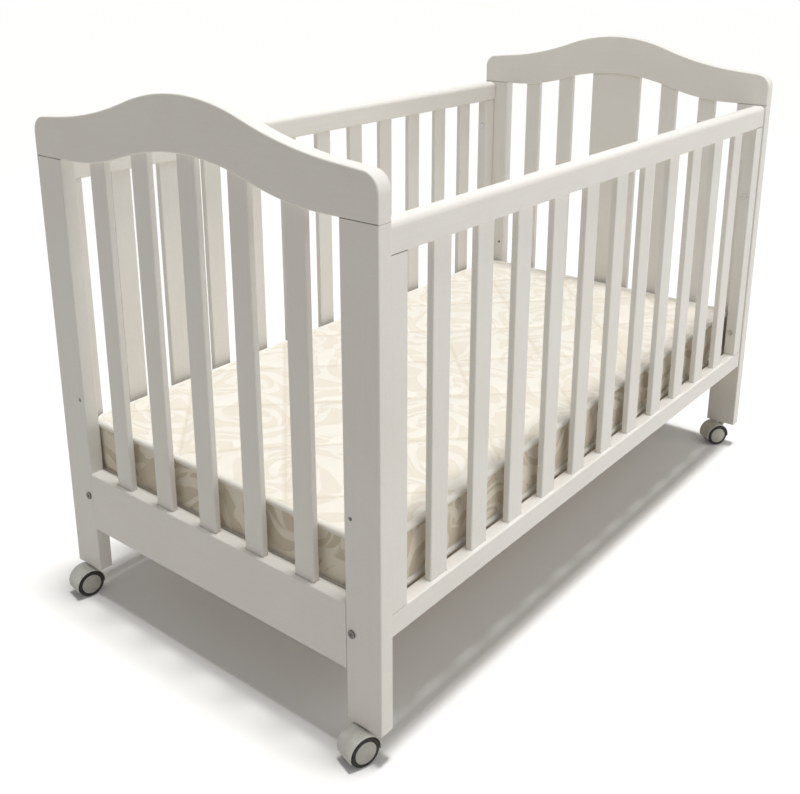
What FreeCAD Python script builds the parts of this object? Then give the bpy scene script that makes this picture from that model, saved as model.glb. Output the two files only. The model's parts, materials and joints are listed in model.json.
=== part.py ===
import FreeCAD, Part
import math
import os

import Sketcher

# A baby crib with two shaped ends, two slatted sides bolted between them, a slatted base that
# bolts in at either of two heights, a mattress, and four hooded twin-wheel casters.
#
# Frame: millimetres, +X towards the head end, +Z up. The front side faces -Y. The origin is on the
# floor, under the middle of the frame.
#
# Every size below goes into the spreadsheet "Sizes". A Size value carries both its number and the
# matching spreadsheet expression, so each feature is placed by number and bound by expression.

SIZES = {
    # the whole frame
    "frame_length": 1358.0,
    "frame_width": 745.0,
    "floor_gap": 56.0,
    "edge_round": 2.5,
    "fit_gap": 1.0,
    # posts
    "post_wide": 67.0,
    "post_thick": 27.0,
    "post_tall": 772.0,
    # crest boards
    "crest_rise": 132.0,
    "crest_crown_radius": 370.0,
    "crest_sweep_radius": 680.0,
    "crest_shoulder": 72.5,
    "crest_shoulder_slope": 5.0,
    "crest_corner_radius": 28.0,
    "arch_rise": 45.0,
    "arch_margin": 22.0,
    # lower rails of the ends
    "end_rail_rise": 87.0,
    "end_rail_tall": 112.0,
    # slats of the ends
    "end_slat_wide": 40.0,
    "end_slat_thick": 12.0,
    "foot_slat_count": 5,
    "head_pair_count": 2,
    "splat_wide": 126.0,
    "mortise_deep": 12.0,
    "mortise_gap": 0.2,
    # side panels
    "side_inset": 3.0,
    "side_thick": 25.0,
    "top_rail_thick": 28.0,
    "top_rail_tall": 46.0,
    "top_rail_round": 11.0,
    "bottom_rail_rise": 153.0,
    "bottom_rail_tall": 39.0,
    "stile_wide": 36.0,
    "side_slat_wide": 42.0,
    "side_slat_thick": 12.0,
    "side_slat_count": 11,
    # base
    "base_inset": 42.5,
    "base_rail_thick": 25.0,
    "base_rail_tall": 60.0,
    "base_low_level": 152.5,
    "base_level_step": 189.0,
    "base_cross_set": 95.0,
    "base_slat_wide": 60.0,
    "base_slat_thick": 8.0,
    "base_slat_count": 13,
    "base_slat_margin": 40.0,
    # mattress
    "mattress_tall": 100.0,
    "mattress_gap": 2.0,
    "mattress_corner": 35.0,
    "mattress_round": 9.0,
    # bolts, nuts, inserts, dowels and screws
    "bolt_radius": 3.0,
    "bolt_gap": 0.5,
    "bolt_head_radius": 6.5,
    "bolt_head_tall": 2.5,
    "bolt_key_radius": 2.0,
    "bolt_key_deep": 1.6,
    "side_bolt_reach": 13.0,
    "side_bolt_low": 247.0,
    "front_bolt_high": 572.0,
    "back_bolt_high": 660.0,
    "base_bolt_reach": 42.0,
    "barrel_radius": 5.0,
    "barrel_long": 16.0,
    "insert_radius": 4.5,
    "insert_long": 14.0,
    "dowel_radius": 4.0,
    "dowel_long": 36.0,
    "dowel_spread": 36.0,
    "screw_radius": 2.0,
    "screw_head_radius": 3.8,
    "slat_screw_long": 30.0,
    "frame_screw_long": 60.0,
    "frame_screw_spread": 30.0,
    # casters
    "caster_trail": 20.0,
    "caster_drop": 31.0,
    "wheel_radius": 25.0,
    "wheel_inner": 4.0,
    "wheel_outer": 19.5,
    "tread_round": 3.0,
    "hub_radius": 18.3,
    "cap_dome": 2.4,
    "cap_plug_radius": 8.0,
    "cap_plug_long": 2.0,
    "axle_radius": 3.0,
    "running_gap": 0.05,
    "hood_gap": 1.2,
    "hood_thick": 1.6,
    "hood_front_angle": 10.0,
    "hood_back_angle": 198.0,
    "web_thick": 6.0,
    "boss_radius": 9.0,
    "stem_radius": 4.0,
    "stem_long": 30.0,
    "pivot_radius": 5.0,
    "pivot_long": 11.0,
    "collar_radius": 10.0,
    "collar_tall": 1.5,
    "boss_floor": 3.0,
    "swivel_gap": 0.3,
    # how far each caster has swivelled
    "foot_front_turn": -17.0,
    "foot_back_turn": -10.0,
    "head_front_turn": -36.0,
    "head_back_turn": -24.0,
}

document = FreeCAD.newDocument("crib")
sheet = document.addObject("Spreadsheet::Sheet", "Sizes")
for row, (alias, number) in enumerate(SIZES.items(), start=1):
    sheet.set(f"A{row}", alias)
    sheet.set(f"B{row}", str(number))
    sheet.setAlias(f"B{row}", alias)
document.recompute()


class Size:
    """A number together with the spreadsheet expression that gives it."""

    def __init__(self, value, text):
        self.value = float(value)
        self.text = text

    def __add__(self, other):
        other = as_size(other)
        return Size(self.value + other.value, f"({self.text} + {other.text})")

    def __radd__(self, other):
        return as_size(other) + self

    def __sub__(self, other):
        other = as_size(other)
        return Size(self.value - other.value, f"({self.text} - {other.text})")

    def __rsub__(self, other):
        return as_size(other) - self

    def __mul__(self, other):
        other = as_size(other)
        return Size(self.value * other.value, f"({self.text} * {other.text})")

    def __rmul__(self, other):
        return as_size(other) * self

    def __truediv__(self, other):
        other = as_size(other)
        return Size(self.value / other.value, f"({self.text} / {other.text})")

    def __neg__(self):
        return Size(-self.value, f"(0 - {self.text})")


def as_size(value):
    return value if isinstance(value, Size) else Size(value, repr(value))


def sine(angle):
    angle = as_size(angle)
    return Size(math.sin(math.radians(angle.value)), f"sin({angle.text} * 1 deg)")


def cosine(angle):
    angle = as_size(angle)
    return Size(math.cos(math.radians(angle.value)), f"cos({angle.text} * 1 deg)")


def root(size):
    return Size(math.sqrt(size.value), f"sqrt({size.text})")


class Sheet:
    """Reads each spreadsheet alias as a Size."""

    def __getattr__(self, alias):
        return Size(sheet.get(alias), f"Sizes.{alias}")


sizes = Sheet()


def bind(item, path, size):
    """Ties one property of a document object to its expression."""
    item.setExpression(path, as_size(size).text)


ORIGIN = (0.0, 0.0, 0.0)
PLANES = {"X": "YZ_Plane", "Y": "XZ_Plane", "Z": "XY_Plane"}


def plane_offset(plane, at):
    """The position of a point in the axes of one origin plane: along, up, out."""
    x, y, z = at
    return {"X": (y, z, x), "Y": (x, z, -as_size(y)), "Z": (x, y, z)}[plane]


class Piece:
    """One sub-part: a PartDesign body, its features, its place and its name."""

    def __init__(self, label, at=ORIGIN, turn=None):
        self.label = label
        self.body = document.addObject("PartDesign::Body", label)
        self.body.Label = label
        self.body.AllowCompound = True
        if turn is not None:
            axis = FreeCAD.Vector(0, 0, 1)
            self.body.Placement = FreeCAD.Placement(FreeCAD.Vector(), FreeCAD.Rotation(axis, turn.value))
            bind(self.body, "Placement.Rotation.Angle", turn)
        for axis_name, size in zip("xyz", at):
            bind(self.body, f"Placement.Base.{axis_name}", size)
        self.last = None

    def origin(self, role):
        return next(item for item in self.body.Origin.OriginFeatures if item.Role == role)

    def sketch(self, plane, at):
        """A sketch on one origin plane, moved so that its own origin is at the given point."""
        item = self.body.newObject("Sketcher::SketchObject", f"{self.label}_sketch")
        item.AttachmentSupport = [(self.origin(PLANES[plane]), "")]
        item.MapMode = "FlatFace"
        for axis_name, size in zip("xyz", plane_offset(plane, at)):
            bind(item, f"AttachmentOffset.Base.{axis_name}", size)
        return item

    def finish(self, feature):
        document.recompute()
        self.last = feature
        self.body.Tip = feature
        return feature

    def pad(self, sketch, length):
        feature = self.body.newObject("PartDesign::Pad", f"{self.label}_pad")
        feature.Profile = sketch
        bind(feature, "Length", length)
        return self.finish(feature)

    def block(self, corner, lengths):
        """A rectangular block from its lowest corner."""
        sketch = self.sketch("Z", corner)
        draw(sketch, rectangle(lengths[0], lengths[1]))
        return self.pad(sketch, lengths[2])

    def mortise(self, corner, lengths):
        """A rectangular pocket from its lowest corner, sunk from its top."""
        x, y, z = corner
        sketch = self.sketch("Z", (x, y, as_size(z) + lengths[2]))
        draw(sketch, rectangle(lengths[0], lengths[1]))
        feature = self.body.newObject("PartDesign::Pocket", f"{self.label}_mortise")
        feature.Profile = sketch
        bind(feature, "Length", lengths[2])
        return self.finish(feature)

    def turned(self, along, at, profile, flip=1, cut=False):
        """A shape turned about a line along X, Y or Z; the profile holds (distance, radius) points."""
        plane = "X" if along == "Y" else "Y"
        sketch = self.sketch(plane, at)
        if along == "Z":
            points = [(as_size(radius), as_size(distance) * flip) for distance, radius in profile]
        else:
            points = [(as_size(distance) * flip, as_size(radius)) for distance, radius in profile]
        draw(sketch, [Corner(*point) for point in points])
        kind = "PartDesign::Groove" if cut else "PartDesign::Revolution"
        feature = self.body.newObject(kind, f"{self.label}_turned")
        feature.Profile = sketch
        feature.ReferenceAxis = (sketch, ["V_Axis" if along == "Z" else "H_Axis"])
        feature.Angle = 360.0
        return self.finish(feature)

    def bore(self, along, at, radius, depth, flip=1):
        profile = [(0, 0), (0, radius), (depth, radius), (depth, 0)]
        return self.turned(along, at, profile, flip, cut=True)

    def round(self, radius, chosen):
        """Rounds the edges of the last feature that the test picks."""
        edges = self.last.Shape.Edges
        names = [f"Edge{number}" for number, edge in enumerate(edges, start=1) if chosen(edge)]
        feature = self.body.newObject("PartDesign::Fillet", f"{self.label}_round")
        feature.Base = (self.last, names)
        bind(feature, "Radius", radius)
        return self.finish(feature)

    def repeat(self, features, along, pitch, count):
        feature = self.body.newObject("PartDesign::LinearPattern", f"{self.label}_row")
        feature.Originals = features
        feature.Direction = (self.origin(f"{along}_Axis"), [""])
        bind(feature, "Length", pitch * (count - 1))
        bind(feature, "Occurrences", count)
        return self.finish(feature)


class Corner:
    """A point of an outline. A radius and a centre make the stretch to the next point an arc."""

    def __init__(self, x, y, radius=None, centre=(0, 0), long_way=False):
        self.x = as_size(x)
        self.y = as_size(y)
        self.radius = radius
        self.centre = (as_size(centre[0]), as_size(centre[1]))
        self.long_way = long_way

    def vector(self):
        return FreeCAD.Vector(self.x.value, self.y.value, 0)


def rectangle(wide, deep):
    return [Corner(0, 0), Corner(wide, 0), Corner(wide, deep), Corner(0, deep)]


def arc_between(start, end):
    """The arc from one corner to the next round its centre, the short way unless it says long."""
    centre = FreeCAD.Vector(start.centre[0].value, start.centre[1].value, 0)
    arm = start.vector() - centre
    halfway = arm + end.vector() - centre
    if start.long_way:
        halfway = -halfway
    middle = centre + halfway.normalize() * arm.Length
    return Part.Arc(start.vector(), middle, end.vector())


def draw(sketch, corners):
    """Draws a closed outline and locks each corner and radius to its expression."""
    count = len(corners)
    for number, corner in enumerate(corners):
        following = corners[(number + 1) % count]
        if corner.radius is None:
            stretch = Part.LineSegment(corner.vector(), following.vector())
        else:
            stretch = arc_between(corner, following)
        sketch.addGeometry(stretch, False)
    starts = [start_of(sketch, number, corner) for number, corner in enumerate(corners)]
    for number, corner in enumerate(corners):
        following = (number + 1) % count
        end = 3 - starts[number]
        sketch.addConstraint(Sketcher.Constraint("Coincident", number, end, following, starts[following]))
        lock(sketch, number, starts[number], "X", corner.x)
        lock(sketch, number, starts[number], "Y", corner.y)
        if corner.radius is not None:
            made = sketch.addConstraint(Sketcher.Constraint("Radius", number, corner.radius.value))
            bind(sketch, f"Constraints[{made}]", corner.radius)


def start_of(sketch, number, corner):
    """Which end of a stretch, 1 or 2, lies at its corner: arcs always run anticlockwise."""
    return 1 if (sketch.getPoint(number, 1) - corner.vector()).Length < 1e-6 else 2


def lock(sketch, number, end, direction, size):
    if size.text == "0" or size.text == "0.0":
        axis = -2 if direction == "X" else -1
        sketch.addConstraint(Sketcher.Constraint("PointOnObject", number, end, axis))
        return
    made = sketch.addConstraint(Sketcher.Constraint(f"Distance{direction}", number, end, size.value))
    bind(sketch, f"Constraints[{made}]", size)


def runs_along(direction):
    """A test that picks straight edges along X, Y or Z."""
    wanted = FreeCAD.Vector(*[1.0 if axis == direction else 0.0 for axis in "XYZ"])

    def chosen(edge):
        if not isinstance(edge.Curve, Part.Line):
            return False
        return abs(edge.tangentAt(edge.FirstParameter).dot(wanted)) > 0.999

    return chosen


# ---------------------------------------------------------------------------------------------
# Places that several sub-parts share
# ---------------------------------------------------------------------------------------------
half_length = sizes.frame_length / 2
half_width = sizes.frame_width / 2
post_inner_x = half_length - sizes.post_thick
post_inner_y = half_width - sizes.post_wide
seam_height = sizes.floor_gap + sizes.post_tall
end_span = post_inner_y * 2
side_length = (post_inner_x - sizes.fit_gap) * 2
side_outer_y = half_width - sizes.side_inset
side_middle_y = side_outer_y - sizes.side_thick / 2
bottom_rail_top = sizes.floor_gap + sizes.bottom_rail_rise + sizes.bottom_rail_tall
top_rail_under = seam_height - sizes.top_rail_tall
stile_middles = [(side_length - sizes.stile_wide) / 2 * sign for sign in (-1, 1)]
end_rail_top = sizes.floor_gap + sizes.end_rail_rise + sizes.end_rail_tall
base_wide = sizes.frame_width - sizes.base_inset * 2
base_bolt_y = base_wide / 2 - sizes.base_rail_thick / 2
base_height = sizes.floor_gap + sizes.base_low_level
base_rail_under = base_height - sizes.base_rail_tall / 2
base_top = base_rail_under + sizes.base_rail_tall
mattress_under = base_top + sizes.base_slat_thick
bolt_bore = sizes.bolt_radius + sizes.bolt_gap
side_bolt_heights = {
    "front": (sizes.floor_gap + sizes.side_bolt_low, sizes.floor_gap + sizes.front_bolt_high),
    "back": (sizes.floor_gap + sizes.side_bolt_low, sizes.floor_gap + sizes.back_bolt_high),
}
ENDS = {"foot": -1, "head": 1}
SIDES = {"front": -1, "back": 1}
pieces = []


def new_piece(label, at=ORIGIN, turn=None):
    piece = Piece(label, at, turn)
    pieces.append(piece)
    return piece


def low_side(sign, near, far):
    """The lower coordinate of a span that lies between two distances on one side of the middle."""
    return near if sign > 0 else -far


def board(label, corner, lengths, radius, directions):
    """A board with its edges rounded along the named directions."""
    piece = new_piece(label, corner)
    piece.block(ORIGIN, lengths)
    tests = [runs_along(direction) for direction in directions]
    piece.round(radius, lambda edge: any(test(edge) for test in tests))
    return piece


# ---------------------------------------------------------------------------------------------
# The two ends
# ---------------------------------------------------------------------------------------------
def dowel_offsets(middle):
    return (middle - sizes.dowel_spread / 2, middle + sizes.dowel_spread / 2)


def make_post(end, side):
    """A post with its bolt bores, insert sockets, dowel holes and stem hole."""
    end_sign, side_sign = ENDS[end], SIDES[side]
    low_x = low_side(end_sign, post_inner_x, half_length)
    low_y = low_side(side_sign, post_inner_y, half_width)
    lengths = (sizes.post_thick, sizes.post_wide, sizes.post_tall)
    post = board(f"{end}_{side}_post", (low_x, low_y, sizes.floor_gap), lengths, sizes.edge_round, "Z")
    bolt_y = base_bolt_y * side_sign - low_y
    for height in (sizes.base_low_level, sizes.base_low_level + sizes.base_level_step):
        post.bore("X", (0, bolt_y, height), bolt_bore, sizes.post_thick)
    inner_x = 0 if end_sign > 0 else sizes.post_thick
    for height in side_bolt_heights[side]:
        at = (inner_x, side_middle_y * side_sign - low_y, height - sizes.floor_gap)
        post.bore("X", at, sizes.insert_radius, sizes.insert_long, flip=end_sign)
    middle_x = sizes.post_thick / 2
    for offset in dowel_offsets(sizes.post_wide / 2):
        post.bore("Z", (middle_x, offset, sizes.post_tall), sizes.dowel_radius, sizes.dowel_long / 2, flip=-1)
    inner_y = 0 if side_sign > 0 else sizes.post_wide
    for offset in dowel_offsets(sizes.end_rail_rise + sizes.end_rail_tall / 2):
        post.bore("Y", (middle_x, inner_y, offset), sizes.dowel_radius, sizes.dowel_long / 2, flip=side_sign)
    post.bore("Z", (middle_x, sizes.post_wide / 2, 0), sizes.stem_radius, sizes.stem_long)


def crest_outline():
    """The crest board's face: a crown arc that sweeps into sloping shoulders, over an arched underside."""
    crown, sweep, corner = sizes.crest_crown_radius, sizes.crest_sweep_radius, sizes.crest_corner_radius
    slope = sizes.crest_shoulder_slope
    # The crown and the sweep meet on a common tangent, at the angle whose sine and cosine follow.
    shoulder_y = half_width - sizes.crest_shoulder
    join_sine = (shoulder_y + sweep * sine(slope)) / (crown + sweep)
    join_cosine = root(1 - join_sine * join_sine)
    join = (crown * join_sine, sizes.crest_rise - crown * (1 - join_cosine))
    sweep_middle = ((crown + sweep) * join_sine, sizes.crest_rise - crown + (crown + sweep) * join_cosine)
    shoulder_z = sweep_middle[1] - sweep * cosine(slope)
    # The corner arc touches the sloping shoulder and the upright end.
    corner_y = half_width - corner
    corner_z = shoulder_z - (corner_y - shoulder_y) * sine(slope) / cosine(slope) - corner / cosine(slope)
    touch = (corner_y + corner * sine(slope), corner_z + corner * cosine(slope))
    arch_y = post_inner_y - sizes.arch_margin
    arch = (arch_y * arch_y + sizes.arch_rise * sizes.arch_rise) / (sizes.arch_rise * 4)
    return [
        Corner(-half_width, 0),
        Corner(-arch_y, 0, arch, (-arch_y, arch)),
        Corner(-arch_y / 2, sizes.arch_rise / 2, arch, (0, sizes.arch_rise - arch)),
        Corner(arch_y / 2, sizes.arch_rise / 2, arch, (arch_y, arch)),
        Corner(arch_y, 0),
        Corner(half_width, 0),
        Corner(half_width, corner_z, corner, (corner_y, corner_z)),
        Corner(*touch),
        Corner(shoulder_y, shoulder_z, sweep, sweep_middle),
        Corner(*join, crown, (0, sizes.crest_rise - crown)),
        Corner(-join[0], join[1], sweep, (-sweep_middle[0], sweep_middle[1])),
        Corner(-shoulder_y, shoulder_z),
        Corner(-touch[0], touch[1], corner, (-corner_y, corner_z)),
        Corner(-half_width, corner_z),
    ]


def arch_height(distance):
    """Height of the arched underside above the seam at a distance from the middle."""
    half_turn = distance * 180 / (post_inner_y - sizes.arch_margin)
    return sizes.arch_rise * (1 + cosine(half_turn)) / 2


def slat_places(end):
    """The middle and width of each upright of one end: even gaps between the posts."""
    if end == "foot":
        count = int(sizes.foot_slat_count.value)
        gap = (end_span - sizes.end_slat_wide * sizes.foot_slat_count) / (sizes.foot_slat_count + 1)
        pitch = gap + sizes.end_slat_wide
        return [(pitch * (number - (count - 1) / 2), sizes.end_slat_wide) for number in range(count)]
    pairs = int(sizes.head_pair_count.value)
    narrow = sizes.end_slat_wide * sizes.head_pair_count * 2
    gap = (end_span - sizes.splat_wide - narrow) / (sizes.head_pair_count * 2 + 2)
    pitch = gap + sizes.end_slat_wide
    first = (sizes.splat_wide + sizes.end_slat_wide) / 2 + gap
    offsets = [first + pitch * number for number in range(pairs)]
    return [(offset * sign, sizes.end_slat_wide) for sign in (-1, 1) for offset in offsets]


def upright_span(middle):
    """The lowest and highest level of an upright: both of its ends sit in mortises."""
    low = end_rail_top - sizes.mortise_deep
    high = seam_height + arch_height(middle) + sizes.mortise_deep
    return low, high


def cut_mortises(piece, corner, uprights):
    """Sinks the mortises of a board whose own origin is at the given corner."""
    gap = sizes.mortise_gap
    wide_x = sizes.end_slat_thick + gap * 2
    low_x = (sizes.post_thick - wide_x) / 2
    for middle, wide in uprights:
        low, high = upright_span(middle)
        low_y = middle - wide / 2 - gap - corner[1]
        lengths = (wide_x, wide + gap * 2, high - low + gap * 2)
        piece.mortise((low_x, low_y, low - gap - corner[2]), lengths)


def make_end(end):
    """The posts, crest board, lower rail and uprights of one end."""
    end_sign = ENDS[end]
    for side in SIDES:
        make_post(end, side)
    low_x = low_side(end_sign, post_inner_x, half_length)
    uprights = slat_places(end)
    slat_x = low_x + (sizes.post_thick - sizes.end_slat_thick) / 2
    middle_x = sizes.post_thick / 2

    splat = [(as_size(0), sizes.splat_wide)] if end == "head" else []
    crest_corner = (low_x, as_size(0), seam_height)
    crest = new_piece(f"{end}_crest_rail", crest_corner)
    face = crest.sketch("X", ORIGIN)
    draw(face, crest_outline())
    crest.pad(face, sizes.post_thick)
    crest.round(sizes.edge_round, lambda edge: on_crest_rim(edge, sizes.post_thick.value))
    cut_mortises(crest, crest_corner, uprights + splat)
    for side_sign in SIDES.values():
        for offset in dowel_offsets((post_inner_y + sizes.post_wide / 2) * side_sign):
            crest.bore("Z", (middle_x, offset, 0), sizes.dowel_radius, sizes.dowel_long / 2)

    rail_corner = (low_x, -post_inner_y, sizes.floor_gap + sizes.end_rail_rise)
    lengths = (sizes.post_thick, end_span, sizes.end_rail_tall)
    rail = board(f"{end}_lower_rail", rail_corner, lengths, sizes.edge_round, "Y")
    cut_mortises(rail, rail_corner, uprights + splat)
    for end_y, flip in ((0, 1), (end_span, -1)):
        for offset in dowel_offsets(sizes.end_rail_tall / 2):
            rail.bore("Y", (middle_x, end_y, offset), sizes.dowel_radius, sizes.dowel_long / 2, flip)

    make_uprights(f"{end}_slats", slat_x, uprights)
    if splat:
        make_uprights(f"{end}_splat", slat_x, splat)


def on_crest_rim(edge, thick):
    """Picks the curved and straight rim edges of both faces, apart from the joint on the posts."""
    box = edge.BoundBox
    flat = box.XLength < 1e-6 and (abs(box.XMin) < 1e-6 or abs(box.XMin - thick) < 1e-6)
    return flat and box.ZMax > 1e-3


def make_uprights(label, slat_x, uprights):
    group = new_piece(label)
    for middle, wide in uprights:
        low, high = upright_span(middle)
        group.block((slat_x, middle - wide / 2, low), (sizes.end_slat_thick, wide, high - low))
    group.round(sizes.edge_round, runs_along("Z"))


# ---------------------------------------------------------------------------------------------
# The two sides
# ---------------------------------------------------------------------------------------------
def make_side(side):
    """The rails, stiles and slats of one side panel."""
    sign = SIDES[side]
    panel_low_y = low_side(sign, side_outer_y - sizes.side_thick, side_outer_y)
    top_low_y = low_side(sign, side_outer_y - sizes.top_rail_thick, side_outer_y)
    slat_thick, slat_wide = sizes.side_slat_thick, sizes.side_slat_wide
    slat_y = side_middle_y * sign - slat_thick / 2
    slat_low = bottom_rail_top - sizes.mortise_deep
    slat_tall = top_rail_under + sizes.mortise_deep - slat_low
    stile_inner_x = side_length / 2 - sizes.stile_wide
    gaps = sizes.side_slat_count + 1
    gap = (stile_inner_x * 2 - slat_wide * sizes.side_slat_count) / gaps
    pitch = gap + slat_wide
    first_x = gap - stile_inner_x
    low_x = -side_length / 2
    loose = sizes.mortise_gap
    pocket = (slat_wide + loose * 2, slat_thick + loose * 2, slat_tall + loose * 2)
    bottom_tall = sizes.bottom_rail_tall

    rails = {
        "top": (top_low_y, top_rail_under, sizes.top_rail_thick, sizes.top_rail_tall),
        "bottom": (panel_low_y, bottom_rail_top - bottom_tall, sizes.side_thick, bottom_tall),
    }
    for name, (low_y, low_z, thick, tall) in rails.items():
        rail = new_piece(f"{side}_{name}_rail", (low_x, low_y, low_z))
        rail.block(ORIGIN, (side_length, thick, tall))
        if name == "top":
            rail.round(sizes.top_rail_round, lambda edge: is_level(edge, sizes.top_rail_tall.value))
            rail.round(sizes.edge_round, lambda edge: runs_along("X")(edge) and is_level(edge, 0))
        else:
            rail.round(sizes.edge_round, runs_along("X"))
        joint_z, flip = (0, 1) if name == "top" else (tall, -1)
        for joint_x in stile_middles:
            at = (joint_x - low_x, side_middle_y * sign - low_y, joint_z)
            rail.bore("Z", at, sizes.dowel_radius, sizes.dowel_long / 2, flip)
        corner = (first_x - loose - low_x, slat_y - loose - low_y, slat_low - loose - low_z)
        rail.repeat([rail.mortise(corner, pocket)], "X", pitch, sizes.side_slat_count)

    for end, end_sign in ENDS.items():
        stile_low = low_side(end_sign, stile_inner_x, side_length / 2)
        corner = (stile_low, panel_low_y, bottom_rail_top)
        lengths = (sizes.stile_wide, sizes.side_thick, top_rail_under - bottom_rail_top)
        stile = board(f"{side}_{end}_stile", corner, lengths, sizes.edge_round, "Z")
        for height in side_bolt_heights[side]:
            stile.bore("X", (0, sizes.side_thick / 2, height - bottom_rail_top), bolt_bore, sizes.stile_wide)
        stile_tall = top_rail_under - bottom_rail_top
        for level, flip in ((0, 1), (stile_tall, -1)):
            at = (sizes.stile_wide / 2, sizes.side_thick / 2, level)
            stile.bore("Z", at, sizes.dowel_radius, sizes.dowel_long / 2, flip)

    slats = new_piece(f"{side}_slats")
    first = slats.block((first_x, slat_y, slat_low), (slat_wide, slat_thick, slat_tall))
    rounded = slats.round(sizes.edge_round, runs_along("Z"))
    slats.repeat([first, rounded], "X", pitch, sizes.side_slat_count)


def is_level(edge, height):
    box = edge.BoundBox
    return box.ZLength < 1e-6 and abs(box.ZMin - height) < 1e-6


# ---------------------------------------------------------------------------------------------
# The base and the mattress
# ---------------------------------------------------------------------------------------------
def frame_screw_heights():
    """The two levels of the screws that hold each cross rail, above the rail's underside."""
    middle = sizes.base_rail_tall / 2
    return (middle - sizes.frame_screw_spread / 2, middle + sizes.frame_screw_spread / 2)


def make_base():
    """Two long rails bolted between the ends, two cross rails, and the slats that carry the mattress."""
    low_x = -side_length / 2
    thick, tall = sizes.base_rail_thick, sizes.base_rail_tall
    inner_y = base_wide / 2 - thick
    cross_x = side_length / 2 - sizes.base_cross_set
    cross_middle = cross_x - thick / 2
    first_x = low_x + sizes.base_slat_margin
    pitch = (side_length - sizes.base_slat_margin * 2 - sizes.base_slat_wide) / (sizes.base_slat_count - 1)
    screw_x = first_x + sizes.base_slat_wide / 2
    pilot = sizes.slat_screw_long - sizes.base_slat_thick
    for side, sign in SIDES.items():
        low_y = low_side(sign, inner_y, base_wide / 2)
        corner = (low_x, low_y, base_rail_under)
        rail = board(f"base_{side}_rail", corner, (side_length, thick, tall), sizes.edge_round, "X")
        for end_x, flip in ((0, 1), (side_length, -1)):
            rail.bore("X", (end_x, thick / 2, tall / 2), bolt_bore, sizes.base_bolt_reach, flip)
            nut_x = end_x + (sizes.base_bolt_reach - sizes.barrel_radius) * flip
            rail.bore("Z", (nut_x, thick / 2, 0), sizes.barrel_radius, barrel_top())
        for cross_sign in (-1, 1):
            for height in frame_screw_heights():
                at = (cross_middle * cross_sign - low_x, 0, height)
                rail.bore("Y", at, sizes.screw_radius, thick)
        drilled = rail.bore("Z", (screw_x - low_x, thick / 2, tall), sizes.screw_radius, pilot, flip=-1)
        rail.repeat([drilled], "X", pitch, sizes.base_slat_count)
    for end, sign in ENDS.items():
        corner = (low_side(sign, cross_x - thick, cross_x), -inner_y, base_rail_under)
        rail = board(f"base_{end}_rail", corner, (thick, inner_y * 2, tall), sizes.edge_round, "Y")
        for height in frame_screw_heights():
            for end_y, flip in ((0, 1), (inner_y * 2, -1)):
                rail.bore("Y", (thick / 2, end_y, height), sizes.screw_radius, frame_screw_bite(), flip)

    slats = new_piece("base_slats")
    lengths = (sizes.base_slat_wide, base_wide, sizes.base_slat_thick)
    first = slats.block((first_x, -base_wide / 2, base_top), lengths)
    features = [first, slats.round(sizes.edge_round, runs_along("Y"))]
    screws = new_piece("base_slat_screws")
    screwed = []
    for sign in SIDES.values():
        at = (screw_x, base_bolt_y * sign, mattress_under)
        features.append(slats.turned("Z", at, screw_profile(sizes.base_slat_thick), -1, cut=True))
        screwed.append(screws.turned("Z", at, screw_profile(sizes.slat_screw_long), -1))
    slats.repeat(features, "X", pitch, sizes.base_slat_count)
    screws.repeat(screwed, "X", pitch, sizes.base_slat_count)

    frame_screws = new_piece("base_frame_screws")
    shank = plain_profile(sizes.screw_radius, sizes.frame_screw_long)
    for end_sign in ENDS.values():
        for side_sign in SIDES.values():
            for height in frame_screw_heights():
                at = (cross_middle * end_sign, base_wide / 2 * side_sign, base_rail_under + height)
                frame_screws.turned("Y", at, shank, -side_sign)


def frame_screw_bite():
    """How far a frame screw reaches into its cross rail."""
    return sizes.frame_screw_long - sizes.base_rail_thick


def screw_profile(long):
    """A countersunk screw below its flat head, or the hole that takes it."""
    head, shank = sizes.screw_head_radius, sizes.screw_radius
    return [(0, 0), (0, head), (head - shank, shank), (long, shank), (long, 0)]


def plain_profile(radius, long, start=0):
    """A plain round bar along its axis."""
    return [(start, 0), (start, radius), (long, radius), (long, 0)]


def barrel_top():
    return sizes.base_rail_tall / 2 + sizes.barrel_long / 2


def make_mattress():
    """The mattress as one plain padded block."""
    half_x = post_inner_x - sizes.mattress_gap
    half_y = side_outer_y - sizes.top_rail_thick - sizes.mattress_gap
    mattress = new_piece("mattress", (-half_x, -half_y, mattress_under))
    mattress.block(ORIGIN, (half_x * 2, half_y * 2, sizes.mattress_tall))
    mattress.round(sizes.mattress_corner, runs_along("Z"))
    mattress.round(sizes.mattress_round, lambda edge: edge.BoundBox.ZLength < 1e-6)


# ---------------------------------------------------------------------------------------------
# Bolts, nuts, inserts, dowels and screws
# ---------------------------------------------------------------------------------------------
def bolt_profile(long):
    """A flat-headed bolt along its axis: the head lies behind zero and has a key socket."""
    rim = sizes.bolt_head_radius
    return [
        (sizes.bolt_key_deep - sizes.bolt_head_tall, 0),
        (sizes.bolt_key_deep - sizes.bolt_head_tall, sizes.bolt_key_radius),
        (-sizes.bolt_head_tall, sizes.bolt_key_radius),
        (-sizes.bolt_head_tall, rim - 1),
        (1 - sizes.bolt_head_tall, rim),
        (0, rim),
        (0, sizes.bolt_radius),
        (long, sizes.bolt_radius),
        (long, 0),
    ]


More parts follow.
